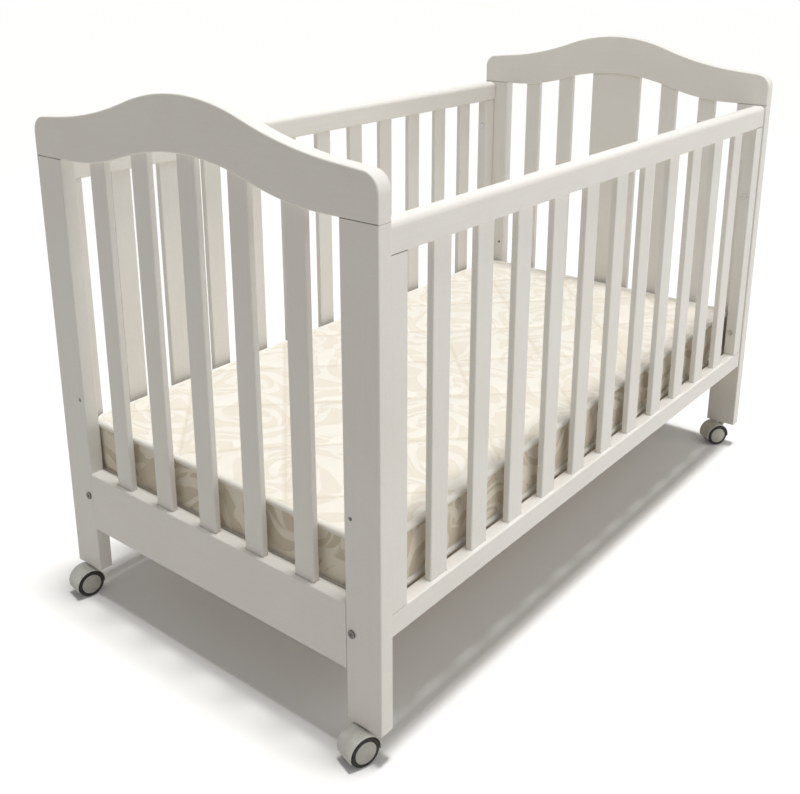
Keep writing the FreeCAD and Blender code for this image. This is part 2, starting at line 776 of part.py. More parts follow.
def make_side_fasteners():
    """The bolts that hold the side panels, and the threaded inserts that they screw into."""
    bolts = new_piece("side_bolts")
    inserts = new_piece("side_inserts")
    long = sizes.stile_wide + sizes.fit_gap + sizes.side_bolt_reach
    inner, outer, deep = sizes.bolt_radius, sizes.insert_radius, sizes.insert_long
    sleeve = [(0, inner), (0, outer), (deep, outer), (deep, inner)]
    for end_sign in ENDS.values():
        for side, side_sign in SIDES.items():
            for height in side_bolt_heights[side]:
                y = side_middle_y * side_sign
                head_x = (side_length / 2 - sizes.stile_wide) * end_sign
                bolts.turned("X", (head_x, y, height), bolt_profile(long), end_sign)
                inserts.turned("X", (post_inner_x * end_sign, y, height), sleeve, end_sign)


def make_base_fasteners():
    """The bolts through the posts into the base, and the barrel nuts that they pull on."""
    bolts = new_piece("base_bolts")
    nuts = new_piece("base_barrel_nuts")
    long = sizes.post_thick + sizes.fit_gap + sizes.base_bolt_reach
    nut_x = side_length / 2 - sizes.base_bolt_reach + sizes.barrel_radius
    corners = [(end, side) for end in ENDS.values() for side in SIDES.values()]
    for end_sign, side_sign in corners:
        y = base_bolt_y * side_sign
        bolts.turned("X", (half_length * end_sign, y, base_height), bolt_profile(long), -end_sign)
        low_z = base_height - sizes.barrel_long / 2
        nuts.turned("Z", (nut_x * end_sign, y, low_z), plain_profile(sizes.barrel_radius, sizes.barrel_long))
    for end_sign, side_sign in corners:
        at = (half_length * end_sign, base_bolt_y * side_sign, base_height)
        nuts.bore("X", at, sizes.bolt_radius, long, -end_sign)


def make_dowels():
    """The dowels of the two ends and of the two side panels."""
    half_long = sizes.dowel_long / 2
    profile = plain_profile(sizes.dowel_radius, half_long, -half_long)
    middle_x = half_length - sizes.post_thick / 2
    rail_middle = sizes.floor_gap + sizes.end_rail_rise + sizes.end_rail_tall / 2
    end_dowels = new_piece("end_dowels")
    side_dowels = new_piece("side_dowels")
    for side_sign in SIDES.values():
        for end_sign in ENDS.values():
            for offset in dowel_offsets((post_inner_y + sizes.post_wide / 2) * side_sign):
                end_dowels.turned("Z", (middle_x * end_sign, offset, seam_height), profile)
            for height in dowel_offsets(rail_middle):
                end_dowels.turned("Y", (middle_x * end_sign, post_inner_y * side_sign, height), profile)
        for joint_x in stile_middles:
            for joint_z in (bottom_rail_top, top_rail_under):
                side_dowels.turned("Z", (joint_x, side_middle_y * side_sign, joint_z), profile)


# ---------------------------------------------------------------------------------------------
# Casters
# ---------------------------------------------------------------------------------------------
def hood_point(angle, radius):
    """A point of the hood's side view, measured about the axle from the front of the caster."""
    x = cosine(angle) * radius - sizes.caster_trail
    z = sine(angle) * radius - sizes.caster_drop
    return x, z


def make_hood(name, at, turn):
    """The hood: a curved cover over both wheels, a web between them and a boss for the stem."""
    hood = new_piece(f"{name}_caster_hood", at, turn)
    inner = sizes.wheel_radius + sizes.hood_gap
    outer = inner + sizes.hood_thick
    front, back = -sizes.hood_front_angle, sizes.hood_back_angle
    axle = (-sizes.caster_trail, -sizes.caster_drop)
    cover = hood.sketch("Y", (0, sizes.wheel_outer, 0))
    draw(cover, [
        Corner(*hood_point(front, inner)),
        Corner(*hood_point(front, outer), outer, axle, long_way=True),
        Corner(*hood_point(back, outer)),
        Corner(*hood_point(back, inner), inner, axle, long_way=True),
    ])
    hood.pad(cover, sizes.wheel_outer * 2)
    web = hood.sketch("Y", (0, sizes.web_thick / 2, 0))
    draw(web, [
        Corner(*hood_point(front, outer), outer, axle, long_way=True),
        Corner(*hood_point(back, outer)),
        Corner(-sizes.caster_trail - sizes.boss_radius, -sizes.caster_drop - sizes.boss_radius),
        Corner(sizes.boss_radius - sizes.caster_trail, -sizes.caster_drop - sizes.boss_radius),
    ])
    hood.pad(web, sizes.web_thick)
    boss_low = -sizes.pivot_long - sizes.boss_floor
    boss_tall = -sizes.collar_tall - sizes.swivel_gap - boss_low
    hood.turned("Z", (0, 0, boss_low), plain_profile(sizes.boss_radius, boss_tall))
    for sign in SIDES.values():
        face_y = (sizes.wheel_inner - sizes.swivel_gap) * sign
        at_wheel = (-sizes.caster_trail, face_y, -sizes.caster_drop)
        hood.bore("Y", at_wheel, sizes.wheel_radius + sizes.hood_gap / 2, sizes.boss_radius, sign)
    pivot_bore = sizes.pivot_radius + sizes.running_gap
    hood.bore("Z", (0, 0, -sizes.pivot_long - sizes.swivel_gap), pivot_bore, sizes.pivot_long)
    middle = (-sizes.caster_trail, -sizes.web_thick, -sizes.caster_drop)
    hood.bore("Y", middle, sizes.axle_radius, sizes.web_thick * 2)
    return hood


def make_wheel(label, at, turn, side):
    """One wheel of a twin pair: tyre, hub and bore."""
    wheel = new_piece(label, at, turn)
    bore = sizes.axle_radius + sizes.running_gap
    inner, outer = sizes.wheel_inner, sizes.wheel_outer
    rim, tread = sizes.wheel_radius, sizes.tread_round
    profile = [
        (inner, bore),
        (inner, rim - tread / 2),
        (inner + tread / 2, rim),
        (outer - tread, rim),
        (outer - tread / 3, rim - tread / 3),
        (outer, rim - tread),
        (outer, sizes.hub_radius),
        (outer - sizes.cap_plug_long, sizes.hub_radius),
        (outer - sizes.cap_plug_long, bore),
    ]
    wheel.turned("Y", ORIGIN, profile, SIDES[side])
    return wheel


def make_cap(label, at, turn, side):
    """The domed cap that closes a hub and hides the axle's end."""
    cap = new_piece(label, at, turn)
    seat = sizes.wheel_outer - sizes.cap_plug_long
    rim = sizes.hub_radius
    profile = [
        (seat, sizes.cap_plug_radius),
        (seat, rim),
        (sizes.wheel_outer, rim),
        (sizes.wheel_outer + sizes.cap_dome * 0.55, rim * 0.85),
        (sizes.wheel_outer + sizes.cap_dome * 0.88, rim * 0.5),
        (sizes.wheel_outer + sizes.cap_dome, 0),
        (sizes.wheel_outer, 0),
        (sizes.wheel_outer, sizes.cap_plug_radius),
    ]
    cap.turned("Y", ORIGIN, profile, SIDES[side])
    return cap


def make_caster(end, side, turn):
    name = f"{end}_{side}"
    x = (half_length - sizes.post_thick / 2) * ENDS[end]
    y = (half_width - sizes.post_wide / 2) * SIDES[side]
    pivot = (x, y, sizes.floor_gap)
    make_hood(name, pivot, turn)
    axle_at = (
        x - cosine(turn) * sizes.caster_trail,
        y - sine(turn) * sizes.caster_trail,
        sizes.floor_gap - sizes.caster_drop,
    )
    axle = new_piece(f"{name}_caster_axle", axle_at, turn)
    half_long = sizes.wheel_outer - sizes.cap_plug_long
    axle.turned("Y", ORIGIN, plain_profile(sizes.axle_radius, half_long, -half_long))
    for face in SIDES:
        make_wheel(f"{name}_{face}_wheel", axle_at, turn, face)
        make_cap(f"{name}_{face}_cap", axle_at, turn, face)


def make_stems():
    """The four caster stems: a threaded shank, a collar under the post and a pivot in the hood."""
    stems = new_piece("caster_stems")
    for end_sign in ENDS.values():
        for side_sign in SIDES.values():
            x = (half_length - sizes.post_thick / 2) * end_sign
            y = (half_width - sizes.post_wide / 2) * side_sign
            stems.turned("Z", (x, y, sizes.floor_gap), [
                (-sizes.pivot_long, 0),
                (-sizes.pivot_long, sizes.pivot_radius),
                (-sizes.collar_tall, sizes.pivot_radius),
                (-sizes.collar_tall, sizes.collar_radius),
                (0, sizes.collar_radius),
                (0, sizes.stem_radius),
                (sizes.stem_long, sizes.stem_radius),
                (sizes.stem_long, 0),
            ])


def export_parts():
    """Checks every object and sub-part, then writes one file per sub-part."""
    document.recompute()
    failed = [item.Name for item in document.Objects if {"Invalid", "Error"} & set(item.State)]
    if failed:
        raise RuntimeError(f"failed objects: {failed}")
    for piece in pieces:
        shape = piece.body.Shape
        if shape.isNull() or not shape.isValid() or not shape.Solids:
            raise RuntimeError(f"bad shape: {piece.label}")
    os.makedirs("parts", exist_ok=True)
    for piece in pieces:
        piece.body.Shape.exportStep(os.path.join("parts", f"{piece.label}.step"))


def main():
    for end in ENDS:
        make_end(end)
    for side in SIDES:
        make_side(side)
    make_base()
    make_mattress()
    make_side_fasteners()
    make_base_fasteners()
    make_dowels()
    make_stems()
    make_caster("foot", "front", sizes.foot_front_turn)
    make_caster("foot", "back", sizes.foot_back_turn)
    make_caster("head", "front", sizes.head_front_turn)
    make_caster("head", "back", sizes.head_back_turn)
    export_parts()


main()
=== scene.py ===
import json
import logging
import math
from contextlib import contextmanager
from dataclasses import dataclass
from enum import Enum
from typing import Callable, Iterable, Iterator, Sequence

import bpy
import numpy as np
from mathutils import Matrix, Vector


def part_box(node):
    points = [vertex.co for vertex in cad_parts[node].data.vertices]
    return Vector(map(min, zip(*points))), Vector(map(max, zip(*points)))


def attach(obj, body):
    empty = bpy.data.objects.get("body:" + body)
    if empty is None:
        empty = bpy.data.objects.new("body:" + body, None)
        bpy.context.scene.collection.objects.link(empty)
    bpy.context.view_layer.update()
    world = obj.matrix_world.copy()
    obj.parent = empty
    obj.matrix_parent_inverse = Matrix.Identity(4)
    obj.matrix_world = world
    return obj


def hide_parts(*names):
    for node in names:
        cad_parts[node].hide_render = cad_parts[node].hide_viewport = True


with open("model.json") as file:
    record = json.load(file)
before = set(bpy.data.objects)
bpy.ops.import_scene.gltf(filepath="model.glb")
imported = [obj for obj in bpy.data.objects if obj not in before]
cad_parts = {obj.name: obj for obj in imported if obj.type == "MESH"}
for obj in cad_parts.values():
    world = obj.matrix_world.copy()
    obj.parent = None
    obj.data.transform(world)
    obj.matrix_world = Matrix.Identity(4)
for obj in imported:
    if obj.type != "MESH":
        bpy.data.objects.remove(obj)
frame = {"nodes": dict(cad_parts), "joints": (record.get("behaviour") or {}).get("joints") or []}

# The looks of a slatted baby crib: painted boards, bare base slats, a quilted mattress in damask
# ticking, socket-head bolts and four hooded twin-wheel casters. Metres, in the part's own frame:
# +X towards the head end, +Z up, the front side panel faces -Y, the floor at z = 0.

log = logging.getLogger("crib")
MM = 0.001
TURN = 2 * math.pi
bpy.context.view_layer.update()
Colour = tuple[float, float, float]
Point = tuple[float, float, float]
Piece = bpy.types.Object
Material = bpy.types.Material


class End(Enum):
    """The two ends of the crib, with the sign of their side of the X axis."""

    FOOT = -1
    HEAD = 1


class Side(Enum):
    """The two long sides, with the sign of their side of the Y axis."""

    FRONT = -1
    BACK = 1


class Grain(Enum):
    """The axis that a board's grain follows."""

    X = (0.06, 1.0, 1.0)
    Y = (1.0, 0.06, 1.0)
    Z = (1.0, 1.0, 0.06)


# ---- Shader arithmetic ----


def operator(operation: str, swapped: bool = False) -> "Callable[..., Signal]":
    """Makes a method that adds one Math node.

    Args:
        operation: The Math node's operation.
        swapped: True where the other value comes first.

    Returns:
        The method, which takes the other values and returns the node's result.
    """

    def method(self: "Signal", *others: "Signal | float") -> "Signal":
        values = (*others, self) if swapped else (self, *others)
        return self.shader.node("Math", {"operation": operation}, values)

    return method


class Signal:
    """A shader socket in Python arithmetic; angles are in radians and comparisons give 0 or 1."""

    def __init__(self, shader: "Shader", socket: bpy.types.NodeSocket) -> None:
        """Wraps one output socket of the shader's tree."""
        self.shader = shader
        self.socket = socket

    __add__ = __radd__ = operator("ADD")
    __sub__ = operator("SUBTRACT")
    __rsub__ = operator("SUBTRACT", swapped=True)
    __mul__ = __rmul__ = operator("MULTIPLY")
    __lt__ = operator("LESS_THAN")
    __gt__ = operator("GREATER_THAN")
    __abs__ = operator("ABSOLUTE")
    sine = operator("SINE")
    least = operator("MINIMUM")
    most = operator("MAXIMUM")
    angle = operator("ARCTAN2")
    between = operator("WRAP")

    def wrap(self, period: float) -> "Signal":
        """The distance to the nearest whole multiple of a period."""
        return abs(self.between(period / 2, -period / 2))

    def ramp(self, low: float, high: float) -> "Signal":
        """A smooth step from zero at low to one at high."""
        settings = {"interpolation_type": "SMOOTHSTEP"}
        return self.shader.node("MapRange", settings, [self, low, high, 0.0, 1.0])


class Shader:
    """One procedural material under construction."""

    def __init__(self, name: str) -> None:
        """Starts an empty material with a Principled shader.

        Args:
            name: The material's name.
        """
        self.material = bpy.data.materials.new(name)
        self.material.use_nodes = True
        self.tree = self.material.node_tree
        self.tree.nodes.clear()
        self.principled = self.tree.nodes.new("ShaderNodeBsdfPrincipled")
        output = self.tree.nodes.new("ShaderNodeOutputMaterial")
        self.tree.links.new(self.principled.outputs[0], output.inputs["Surface"])
        self.output = output
        texture = self.tree.nodes.new("ShaderNodeTexCoord")
        self.place = Signal(self, texture.outputs["Object"])

    def node(
        self,
        kind: str,
        settings: dict[str, object] | None = None,
        inputs: "Sequence[object] | dict[str, object]" = (),
        out: str | int = 0,
    ) -> Signal:
        """Adds any shader node.

        Args:
            kind: The node's type without its ShaderNode prefix.
            settings: The node's own properties, set before its inputs.
            inputs: Values or signals, in socket order or by socket name.
            out: The output socket wanted.

        Returns:
            The wanted output.
        """
        made = self.tree.nodes.new(f"ShaderNode{kind}")
        for key, value in (settings or {}).items():
            setattr(made, key, value)
        pairs = inputs.items() if isinstance(inputs, dict) else enumerate(inputs)
        for key, value in pairs:
            if value is None:
                continue
            if isinstance(value, Signal):
                self.tree.links.new(value.socket, made.inputs[key])
            else:
                made.inputs[key].default_value = value
        return Signal(self, made.outputs[out])

    def parts(self, vector: Signal) -> tuple[Signal, Signal, Signal]:
        """A vector's three parts."""
        return tuple(self.node("SeparateXYZ", None, [vector], i) for i in range(3))

    def axes(self) -> tuple[Signal, Signal, Signal]:
        """The place's three coordinates, in metres."""
        return self.parts(self.place)

    def normal(self) -> tuple[Signal, Signal, Signal]:
        """The three parts of the surface's own normal."""
        return self.parts(self.node("NewGeometry", out="True Normal"))

    def vector(self, x: Signal | float, y: Signal | float, z: Signal | float = 0.0) -> Signal:
        """A vector from its parts."""
        return self.node("CombineXYZ", None, [x, y, z])

    def shift(self, place: Signal, offset: Signal, amount: float) -> Signal:
        """A place moved by a colour-like offset round its middle value.

        Args:
            place: The vector to move.
            offset: A vector with parts from 0 to 1.
            amount: How far a full offset moves it.

        Returns:
            The moved vector.
        """
        centred = self.node("VectorMath", {"operation": "SUBTRACT"}, [offset, (0.5, 0.5, 0.5)])
        scaled = self.node("VectorMath", {"operation": "SCALE"}, {0: centred, "Scale": amount})
        return self.node("VectorMath", {"operation": "ADD"}, [place, scaled])

    def stretch(self, scale: Point, place: Signal | None = None) -> Signal:
        """The place with each axis scaled by its own number."""
        return self.node("VectorMath", {"operation": "MULTIPLY"}, [place or self.place, scale])

    def noise(
        self,
        scale: float,
        detail: float = 3.0,
        place: Signal | None = None,
        rough: float = 0.5,
        colour: bool = False,
    ) -> Signal:
        """Fractal noise.

        Args:
            scale: Cells per metre.
            detail: Octaves.
            place: Where it is read; the object's own coordinates unless given.
            rough: How strong the finer octaves are.
            colour: True for three values, False for one.

        Returns:
            The noise, from about 0 to 1.
        """
        values = {"Vector": place or self.place, "Scale": scale, "Detail": detail, "Roughness": rough}
        return self.node("TexNoise", None, values, 1 if colour else 0)

    def mix(self, factor: Signal | float, low: "Signal | Colour", high: "Signal | Colour") -> Signal:
        """A colour between two colours."""
        ends = [c if isinstance(c, Signal) else (*c, 1.0) for c in (low, high)]
        return self.node("Mix", {"data_type": "RGBA"}, {0: factor, 6: ends[0], 7: ends[1]}, 2)

    def bump(self, height: Signal, strength: float, depth: float, under: Signal | None = None) -> Signal:
        """A bumped normal.

        Args:
            height: The relief, from 0 to 1.
            strength: The Bump node's strength.
            depth: The relief's depth in metres.
            under: A normal to add it to.

        Returns:
            The new normal.
        """
        values = {"Strength": strength, "Distance": depth, "Height": height, "Normal": under}
        return self.node("Bump", None, values)

    def dress(
        self,
        colour: "Signal | Colour",
        rough: Signal | float,
        normal: Signal | None = None,
        metal: float = 0.0,
        **constants: float,
    ) -> Material:
        """Connects the finished channels.

        Args:
            colour: Base colour.
            rough: Roughness.
            normal: The bumped normal.
            metal: Metallic.
            constants: Other sockets of the shader, by name with underscores, as plain numbers.

        Returns:
            The finished material.
        """
        channels = {"Base Color": colour, "Roughness": rough, "Normal": normal, "Metallic": metal}
        channels |= {key.replace("_", " "): value for key, value in constants.items()}
        for key, value in channels.items():
            if value is None:
                continue
            socket = self.principled.inputs[key]
            if isinstance(value, Signal):
                self.tree.links.new(value.socket, socket)
            else:
                socket.default_value = (*value, 1.0) if isinstance(value, tuple) else value
        return self.material


# ---- Finishes ----


@dataclass(frozen=True)
class Finish:
    """A procedural material that is made once, under its own name."""

    name: str

    def make(self) -> Material:
        """Builds the material."""
        return self.lay(Shader(self.name))


@dataclass(frozen=True)
class SatinPaint(Finish):
    """White satin paint sprayed on sanded boards, with the faint grain that shows through it."""

    grain: Grain
    seams: tuple[float, ...] = ()
    seam_from: float = 0.0
    seam_along_x: bool = False
    colour: Colour = (0.82, 0.80, 0.765)
    shade: Colour = (0.765, 0.74, 0.695)
    seam: Colour = (0.30, 0.28, 0.25)
    seam_width: float = 0.0009
    seam_relief: float = 3.0

    def lay(self, s: Shader) -> Material:
        """Lays the finish."""
        along = s.stretch(self.grain.value)
        drift = s.noise(5.0, 3.0)
        speck = s.noise(420.0, 2.0)
        fibre = s.noise(170.0, 4.0, along, 0.6)
        peel = s.noise(900.0, 2.0)
        tone = (drift * 0.45 + speck * 0.35 + fibre * 0.2).ramp(0.30, 0.72)
        colour = s.mix(tone, self.shade, self.colour)
        x, y, z = s.axes()
        height = fibre * 0.55 + peel * 0.45
        across = abs(x) if self.seam_along_x else abs(y)
        for level in self.seams:
            line = 1.0 - abs(z - level).ramp(0.0002, self.seam_width)
            line = line * (across > self.seam_from)
            colour = s.mix(line * 0.55, colour, self.seam)
            height = height - line * self.seam_relief
        normal = s.bump(height, 0.35, 0.00022)
        return s.dress(colour, 0.34 + drift * 0.14 + speck * 0.06, normal, Specular_IOR_Level=0.42)


@dataclass(frozen=True)
class BareWood(Finish):
    """Planed softwood or beech under a clear matt lacquer."""

    grain: Grain
    light: Colour
    dark: Colour
    rings: float = 55.0

    def lay(self, s: Shader) -> Material:
        """Lays the finish."""
        along = s.stretch(self.grain.value)
        warp = s.noise(3.0, 2.0, along, colour=True)
        bent = s.shift(along, warp, 0.05)
        bands = s.noise(self.rings, 2.0, bent)
        fibre = s.noise(420.0, 4.0, along, 0.65)
        pores = s.noise(1100.0, 2.0, s.stretch(self.grain.value, bent))
        tone = (bands * 0.6 + fibre * 0.4).ramp(0.32, 0.70)
        colour = s.mix(tone, self.dark, self.light)
        colour = s.mix(pores.ramp(0.62, 0.74) * 0.25, colour, self.dark)
        normal = s.bump(fibre * 0.7 + pores * 0.3, 0.4, 0.0004)
        return s.dress(colour, 0.50 + fibre * 0.18, normal, Specular_IOR_Level=0.35)


@dataclass(frozen=True)
class DamaskTicking(Finish):
    """Ivory jacquard ticking: satin blossoms and trailing stems on a matt ground, tone on tone."""

    ground: Colour = (0.725, 0.675, 0.590)
    figure: Colour = (0.795, 0.765, 0.700)
    # The two side colours below are darker, warmer copies of the top's colours: painted shade on the
    # mattress's sides.
    shaded_side_ground: Colour = (0.630, 0.550, 0.430)
    shaded_side_figure: Colour = (0.800, 0.735, 0.625)
    # The stitch colour is the thread's own colour, and also the painted shade in the quilted channels.
    stitch_and_hollow_shade: Colour = (0.60, 0.53, 0.42)
    repeat: float = 0.210
    diamond: float = 0.25
    offset: tuple[float, float] = (-0.010, -0.026)
    wander: float = 0.110
    thread: float = 0.0011
    stitch_step: float = 0.006
    stitch_half: float = 0.0010
    channel_half: float = 0.011

    def lay(self, s: Shader) -> Material:
        """Lays the finish: one cloth plane laid over the top and folded down the borders."""
        x, y, z = s.axes()
        nx, ny, nz = s.normal()
        flat = abs(nz) > 0.6
        side = 1.0 - flat
        on_end = (abs(nx) > abs(ny)) * side
        u = x * (1.0 - on_end) + y * on_end
        v = y * flat + z * side
        sheet = s.vector(u, v)
        swirl = s.noise(6.0, 1.0, sheet, colour=True)
        cloth = s.shift(sheet, swirl, self.wander)
        cells = {"Vector": cloth, "Scale": 1.0 / self.repeat, "Randomness": 0.85}
        reach = s.node("TexVoronoi", {"voronoi_dimensions": "2D"}, cells, "Distance")
        centre = s.node("TexVoronoi", {"voronoi_dimensions": "2D"}, cells, "Position")
        away = s.node("VectorMath", {"operation": "SUBTRACT"}, [cloth, centre])
        du, dv, _ = s.parts(away)
        turn = dv.angle(du)
        petals = (turn * 3.0 + reach * 26.0).sine() * 0.5 + 0.5
        rings = (reach * 30.0 - petals * 2.6).sine() * 0.5 + 0.5
        bloom = (petals * 0.50 + rings * 0.50).ramp(0.40, 0.60) * (1.0 - reach.ramp(0.52, 0.66))
        trail = s.noise(9.0, 1.0, cloth)
        stems = 1.0 - (trail * 4.0).wrap(1.0).ramp(0.055, 0.125)
        leaf = s.noise(22.0, 1.0, cloth).ramp(0.55, 0.62) * reach.ramp(0.50, 0.62)
        figure = (bloom + stems * reach.ramp(0.30, 0.5) + leaf).ramp(0.2, 0.8)
        warp = (u * (TURN / self.thread)).sine()
        weft = (v * (TURN / self.thread)).sine()
        weave = warp * weft * 0.5 + 0.5
        age = s.noise(6.0, 3.0)
        # Faces that are not flat take the darker side colours: painted shade on the mattress's sides.
        ground = s.mix(side, self.ground, self.shaded_side_ground)
        pale = s.mix(side, self.figure, self.shaded_side_figure)
        colour = s.mix(figure * (0.75 + age * 0.30), ground, pale)
        colour = s.mix((age * 0.7 + weave * 0.12).ramp(0.2, 0.9) * 0.22, colour, ground)
        rising = (y - x - self.offset[0]).wrap(self.diamond)
        falling = (y + x - self.offset[1]).wrap(self.diamond)
        near = rising.least(falling)
        dash = ((x + y * 0.37) * (TURN / self.stitch_step)).sine() > -0.35
        thread = (near < self.stitch_half) * flat * dash
        # A band along each sewn line is darkened towards the stitch colour: painted shade in the sunken
        # channel. The narrow dashed thread is the real stitching.
        hollow_shade = (1.0 - near.ramp(0.0, self.channel_half)) * flat
        colour = s.mix(hollow_shade * 0.42, colour, self.stitch_and_hollow_shade)
        colour = s.mix(thread * 0.55, colour, self.stitch_and_hollow_shade)
        relief = s.bump(figure, 0.55, 0.0011)
        fine = s.bump(weave, 0.30, 0.0002, relief)
        crease = s.noise(26.0, 3.0, s.stretch((0.45, 1.0, 1.0)))
        normal = s.bump(crease, 0.50, 0.0045, fine)
        rough = 0.78 - figure * 0.24
        return s.dress(colour, rough, normal, Sheen_Weight=0.25, Sheen_Roughness=0.4)


@dataclass(frozen=True)
class EdgeTape(Finish):
    """White ribbed binding tape."""

    colour: Colour = (0.88, 0.86, 0.81)
    # The darker tape colour serves for soil, and for painted shade in the grooves between the ribs.
    shade: Colour = (0.74, 0.70, 0.62)
    rib_pitch: float = 0.0024

    def lay(self, s: Shader) -> Material:
        """Lays the finish."""
        x, y, z = s.axes()
        rib = ((x + y) * (TURN / self.rib_pitch) + z * 900.0).sine() * 0.5 + 0.5
        soil = s.noise(30.0, 3.0)
        # Darker at the low phase of each rib: painted shade in the grooves. The soil noise adds real dirt.
        colour = s.mix((rib * 0.35 + soil * 0.65).ramp(0.2, 0.75), self.shade, self.colour)
        return s.dress(colour, 0.72 + soil * 0.1, s.bump(rib, 0.5, 0.0005), Sheen_Weight=0.2)


@dataclass(frozen=True)
class MouldedPlastic(Finish):
    """Matt moulded plastic with a fine spark texture and light scuffs."""

    colour: Colour
    scuff: Colour
    rough: float = 0.46

    def lay(self, s: Shader) -> Material:
        """Lays the finish."""
        cloud = s.noise(60.0, 4.0)
        spark = s.noise(2600.0, 2.0)
        marks = s.noise(140.0, 5.0, s.stretch((0.3, 1.0, 1.6)), 0.7).ramp(0.60, 0.70)
        low = tuple(c * 0.80 for c in self.colour)
        colour = s.mix(cloud.ramp(0.25, 0.75), low, self.colour)
        colour = s.mix(marks * 0.45, colour, self.scuff)
        normal = s.bump(spark * 0.8 + marks * 0.2, 0.35, 0.00016)
        return s.dress(colour, self.rough + spark * 0.10 + marks * 0.12, normal)


@dataclass(frozen=True)
class SoftTread(Finish):
    """Black rubber with dust in its pores."""

    colour: Colour = (0.022, 0.022, 0.020)
    dust: Colour = (0.13, 0.125, 0.11)

    def lay(self, s: Shader) -> Material:
        """Lays the finish."""
        dirt = s.noise(230.0, 5.0, rough=0.65)
        pores = s.noise(1500.0, 2.0)
        colour = s.mix(dirt.ramp(0.45, 0.75) * 0.55, self.colour, self.dust)
        normal = s.bump(pores * 0.6 + dirt * 0.4, 0.5, 0.0003)
        return s.dress(colour, 0.62 + dirt * 0.2, normal, Specular_IOR_Level=0.3)


@dataclass(frozen=True)
class Plating(Finish):
    """Plated or oxide-blacked steel with fine turning marks."""

    colour: Colour
    tarnish: Colour
    rough: float

    def lay(self, s: Shader) -> Material:
        """Lays the finish."""
        stain = s.noise(420.0, 4.0, rough=0.6)
        turned = s.noise(3000.0, 2.0)
        colour = s.mix(stain.ramp(0.35, 0.75), self.colour, self.tarnish)
        normal = s.bump(turned, 0.25, 0.0001)
        return s.dress(colour, self.rough + stain * 0.2, normal, metal=1.0)


@dataclass(frozen=True)
class PaleFloor(Finish):
    """A plain pale studio floor that reads as white where nothing shades it."""

    colour: Colour = (0.96, 0.96, 0.955)
    dim: Colour = (0.69, 0.68, 0.65)
    lift: float = 0.05

    def lay(self, s: Shader) -> Material:
        """Lays the finish: a matt floor, lifted for the rays that see it as background."""
        seen = s.node("LightPath", out="Is Camera Ray")
        mirrored = s.node("LightPath", out="Is Glossy Ray")
        factor = seen.most(mirrored)
        s.dress(s.mix(factor, self.dim, self.colour), 0.9, Specular_IOR_Level=0.0)
        glow = s.node("Emission", None, [(1.0, 1.0, 1.0, 1.0), self.lift])
        none = s.node("Emission", None, [(0.0, 0.0, 0.0, 1.0), 0.0])
        chosen = s.node("MixShader", None, [factor, none, glow])
        both = s.node("AddShader", None, [chosen, Signal(s, s.principled.outputs[0])])
        s.tree.links.new(both.socket, s.output.inputs["Surface"])
        return s.material


# ---- Modelling with the operators ----


def eased(values: np.ndarray) -> np.ndarray:
    """A smooth step from 0 to 1 across the same span."""
    held = np.clip(values, 0, 1)
    return held * held * (3 - 2 * held)


